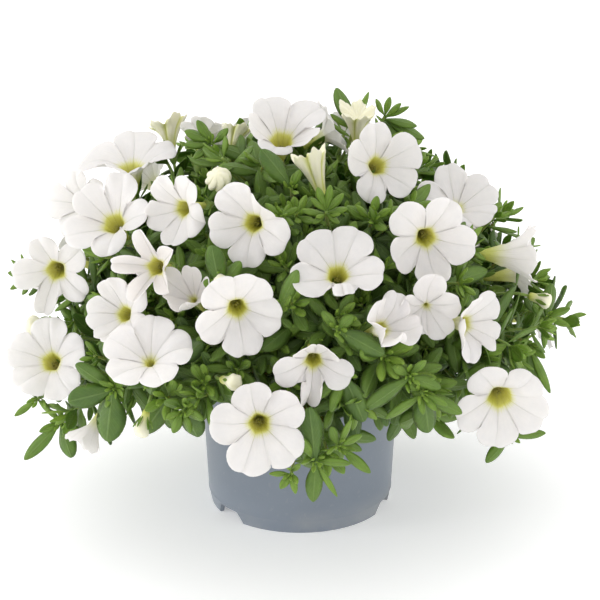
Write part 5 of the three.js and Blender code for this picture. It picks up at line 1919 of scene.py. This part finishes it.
def sepals(twigs, rng):
    """Five narrow sepals on each calyx or green bud, as rows of leaves."""
    rows = []
    for twig in twigs:
        axis = twig["facing"]
        x, y = crosswise(axis)
        wide, lengths, splays = (2.1, (7.5, 10.5), (20, 36))
        if twig["kind"] == "bud":
            wide, lengths, splays = (1.7, (6, 8.5), (14, 30))
        for k in range(LOBES):
            angle = twig["turn"] + 2 * math.pi * k / LOBES + rng.uniform(-0.15, 0.15)
            away = x * math.cos(angle) + y * math.sin(angle)
            length = rng.uniform(*lengths)
            splay = math.radians(rng.uniform(*splays))
            start = twig["end"] + axis * 2.6 + away * wide
            width = length * rng.uniform(0.2, 0.26)
            across = np.cross(axis, away)
            rows.append(leaf_row(start, axis, across, away, length, width, splay, 0.1, 0.3))
    return np.array(rows).reshape(-1, LEAF_COLUMNS)


def green_bud_grid(twig):
    """A closed bud: a slim egg with five soft pleats that turn a little."""
    length, radius = twig["bud"]
    h = np.array([0, 0.0, 0.12, 0.28, 0.45, 0.62, 0.76, 0.88, 0.96, 1.0, 1.0])
    r = np.array([0, 0.4, 0.5, 0.55, 0.66, 0.86, 1.0, 0.95, 0.72, 0.4, 0.0])
    pleat = 1 + 0.07 * np.cos(5 * (ring_angles(GREEN_BUD_AROUND) - 2.2 * h[:, None]))
    profile = np.stack([r * radius, h * length], axis=-1)
    grid = placed(profile, [twig["end"]], [twig["facing"]], GREEN_BUD_AROUND, pleat)
    return grid, {"along": h[None, :, None], "fold": 0.25}


def leafy_plant(shape):
    """All twigs and all leaves of the plant, sorted by main stem."""
    flowers = flower_list()
    wall = bloom_walls(flowers)
    twigs = grown_twigs()
    shoots = side_shoots(flowers, wall, shape.side_shoots, shape.seed + SHOOT_SEED)
    rng = np.random.default_rng(shape.seed)
    by_stem = [{"twigs": [], "leaves": []} for _ in STEMS]
    for stem, leaf in solid_leaves(twigs):
        by_stem[stem]["leaves"].append(leaf[None])
    for twig in twigs + shoots + shown_shoots():
        growth = by_stem[twig["stem"]]
        growth["twigs"].append(twig)
        rows = more_leaves(twig, rng)
        if len(rows):
            rows = rows[inside_box(rows)]
            growth["leaves"].append(rows[clear_leaves(rows, wall, flowers)])
        if "own" in twig:
            growth["leaves"].append(twig["own"])
    return by_stem


# ------------ operators


def dress(piece, slot, *nodes):
    """The piece stands for these nodes and rides on the one body; slot is not used."""
    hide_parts(*nodes)
    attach(piece, "root")


# Lights: place and size in metres, and the setting of their power.
LIGHTS = {
    "key_light": ((-1.25, -0.3, 0.45), 0.5, "key_power"),
    "fill_light": ((1.2, -0.6, 0.5), 1.0, "fill_power"),
    "top_light": ((-0.1, 0.3, 1.4), 1.0, "top_power"),
}


class CALIBRACHOA_OT_stage(bpy.types.Operator):
    """Add the camera, the floor and the light"""

    bl_idname = "calibrachoa.stage"
    bl_label = "Stage"

    def execute(self, context):
        scene = context.scene
        studio = scene.calibrachoa_studio
        target = Vector((0, 0, studio.target_height))
        away = Vector((0, -math.cos(studio.elevation), math.sin(studio.elevation)))
        camera_data = bpy.data.cameras.new("camera")
        camera_data.lens = studio.lens
        camera_data.sensor_width = 36
        camera = new_object("camera", camera_data)
        camera.location = target + away * studio.distance
        camera.rotation_euler = (-away).to_track_quat("-Z", "Y").to_euler()
        scene.camera = camera
        self.add_floor(studio.floor_size / 2, scene.calibrachoa_looks)
        for name, (place, size, setting) in LIGHTS.items():
            self.add_light(name, Vector(place), size, getattr(studio, setting), target)
        world = bpy.data.worlds.new("white_room")
        world.use_nodes = True
        background = world.node_tree.nodes["Background"]
        background.inputs["Color"].default_value = (1.0, 1.0, 1.0, 1.0)
        background.inputs["Strength"].default_value = studio.world_light
        scene.world = world
        scene.view_settings.view_transform = "Standard"
        return {"FINISHED"}

    def add_floor(self, half, looks):
        """A flat square just under the pot's foot."""
        corners = [(-half, -half, 0), (half, -half, 0), (half, half, 0), (-half, half, 0)]
        mesh = bpy.data.meshes.new("studio_floor")
        mesh.from_pydata(corners, [], [(0, 1, 2, 3)])
        mesh.materials.append(floor_material(looks))
        new_object("studio_floor", mesh)

    def add_light(self, name, place, size, power, target):
        """A large soft square light that looks at the plant."""
        data = bpy.data.lights.new(name, "AREA")
        data.energy = power
        data.size = size
        light = new_object(name, data)
        light.location = place
        light.rotation_euler = (target - place).to_track_quat("-Z", "Y").to_euler()


class CALIBRACHOA_OT_pot(bpy.types.Operator):
    """Add the moulded nursery pot with its rim, ridge, notched skirt and drain holes"""

    bl_idname = "calibrachoa.pot"
    bl_label = "Pot"

    def execute(self, context):
        piece = Piece("nursery_pot", [])
        piece.add(pot_grid())
        pot = piece.build([pot_material(context.scene.calibrachoa_looks)])
        drills = []
        depth = POT["floor_height"] - 3
        profile = [(0, depth), (DRAIN["radius"], depth), (DRAIN["radius"], depth + 8), (0, depth + 8)]
        for k in range(DRAIN["count"] + 1):
            ring = DRAIN["ring"] if k < DRAIN["count"] else 0.0
            centre = heading(360 / DRAIN["count"] * k, 0) * ring
            drills.append(turned(profile, 32) + centre)
        bored(pot, drills)
        pot.data.set_sharp_from_angle(angle=math.radians(50))
        dress(pot, "pot_plastic", "pot")
        return {"FINISHED"}


class CALIBRACHOA_OT_soil(bpy.types.Operator):
    """Add the potting soil with its crumbs"""

    bl_idname = "calibrachoa.soil"
    bl_label = "Soil"

    def execute(self, context):
        shape = context.scene.calibrachoa_shape
        piece = Piece("potting_soil", ["bit"])
        piece.add(soil_grid(), {"bit": 0.6})
        piece.add(crumb_grids(shape.crumbs, shape.seed), {"bit": 1.0})
        soil = piece.build([soil_material(context.scene.calibrachoa_looks)])
        dress(soil, "potting_soil", "soil")
        return {"FINISHED"}


class CALIBRACHOA_OT_flowers(bpy.types.Operator):
    """Add every open flower: its corolla, anthers and stigma"""

    bl_idname = "calibrachoa.flowers"
    bl_label = "Flowers"

    def execute(self, context):
        looks = context.scene.calibrachoa_looks
        thickness = context.scene.calibrachoa_shape.petal_thickness / MM
        petal, anther = petal_material(looks), anther_material(looks)
        for flower in flower_list():
            number = flower["number"]
            piece = Piece(f"corolla_{number:02d}", ["reach", "edge", "side", "turn"])
            piece.add(*flower_grid(flower, thickness))
            piece.add(anther_grids(flower), slot=1)
            corolla = piece.build([petal, anther])
            dress(corolla, "petals", f"flower_{number:02d}")
        return {"FINISHED"}


class CALIBRACHOA_OT_opening_buds(bpy.types.Operator):
    """Add the cream buds that are unrolling"""

    bl_idname = "calibrachoa.opening_buds"
    bl_label = "Opening buds"

    def execute(self, context):
        material = bud_material(context.scene.calibrachoa_looks)
        for i, bud in enumerate(OPENING_BUDS):
            piece = Piece(f"cream_bud_{i + 1:02d}", ["along", "fold"])
            piece.add(*opening_bud_grid(bud))
            dress(piece.build([material]), "pale_buds", f"opening_bud_{i + 1:02d}")
        return {"FINISHED"}


class CALIBRACHOA_OT_leafy_stems(bpy.types.Operator):
    """Add every main stem with its twigs, leaves, calyces and green buds"""

    bl_idname = "calibrachoa.leafy_stems"
    bl_label = "Leafy stems"

    def execute(self, context):
        shape, looks = context.scene.calibrachoa_shape, context.scene.calibrachoa_looks
        materials = [leaf_material(looks), stem_material(looks), bud_material(looks)]
        rng = np.random.default_rng(shape.seed + 1)
        thickness = shape.leaf_thickness / MM
        twig_radius = shape.twig_radius / MM
        twig_tube = {**TWIG_TUBE, "radii": [share * twig_radius for share in TWIG_TUBE["radii"]]}
        plant = leafy_plant(shape)
        for i, (stem, growth) in enumerate(zip(STEMS, plant)):
            twigs = growth["twigs"]
            piece = Piece(f"stem_and_leaves_{i + 1:02d}", ["age", "along", "across", "fold"])
            piece.add(*leaf_grid(np.concatenate(growth["leaves"]), thickness), LEAF_SLOT)
            piece.add(*tube_grid([stem_curve(*stem)], **STEM_TUBE), STEM_SLOT)
            piece.add(*tube_grid([twig["curve"] for twig in twigs], **twig_tube), STEM_SLOT)
            cups = [twig for twig in twigs if twig["kind"] in ("flower", "opening")]
            buds = [twig for twig in twigs if twig["kind"] == "bud"]
            if cups:
                piece.add(calyx_grid(cups), {"age": 0.35}, STEM_SLOT)
            if cups + buds:
                piece.add(*leaf_grid(sepals(cups + buds, rng), thickness), LEAF_SLOT)
            for twig in buds:
                piece.add(*green_bud_grid(twig), BUD_SLOT)
            dress(piece.build(materials), "foliage", f"leafy_stem_{i + 1:02d}")
        return {"FINISHED"}


class CALIBRACHOA_PT_panel(bpy.types.Panel):
    """Buttons and settings of the potted calibrachoa"""

    bl_idname = "CALIBRACHOA_PT_panel"
    bl_label = "Calibrachoa"
    bl_space_type = "VIEW_3D"
    bl_region_type = "UI"
    bl_category = "Calibrachoa"

    def draw(self, context):
        for operator in OPERATORS:
            self.layout.operator(operator.bl_idname)
        for group in ("calibrachoa_shape", "calibrachoa_looks", "calibrachoa_studio"):
            settings = getattr(context.scene, group)
            for name in settings.__annotations__:
                self.layout.prop(settings, name)


OPERATORS = (
    CALIBRACHOA_OT_stage,
    CALIBRACHOA_OT_pot,
    CALIBRACHOA_OT_soil,
    CALIBRACHOA_OT_flowers,
    CALIBRACHOA_OT_opening_buds,
    CALIBRACHOA_OT_leafy_stems,
)
SETTINGS = {
    "calibrachoa_shape": CalibrachoaShape,
    "calibrachoa_looks": CalibrachoaLooks,
    "calibrachoa_studio": CalibrachoaStudio,
}


def register():
    for cls in (*SETTINGS.values(), *OPERATORS, CALIBRACHOA_PT_panel):
        bpy.utils.register_class(cls)
    for name, cls in SETTINGS.items():
        setattr(bpy.types.Scene, name, PointerProperty(type=cls))


def unregister():
    for name in SETTINGS:
        delattr(bpy.types.Scene, name)
    for cls in (CALIBRACHOA_PT_panel, *reversed(OPERATORS), *reversed(SETTINGS.values())):
        bpy.utils.unregister_class(cls)


def main():
    register()
    bpy.ops.calibrachoa.stage()
    bpy.ops.calibrachoa.pot()
    bpy.ops.calibrachoa.soil()
    bpy.ops.calibrachoa.flowers()
    bpy.ops.calibrachoa.opening_buds()
    bpy.ops.calibrachoa.leafy_stems()


if __name__ == "__main__":
    main()
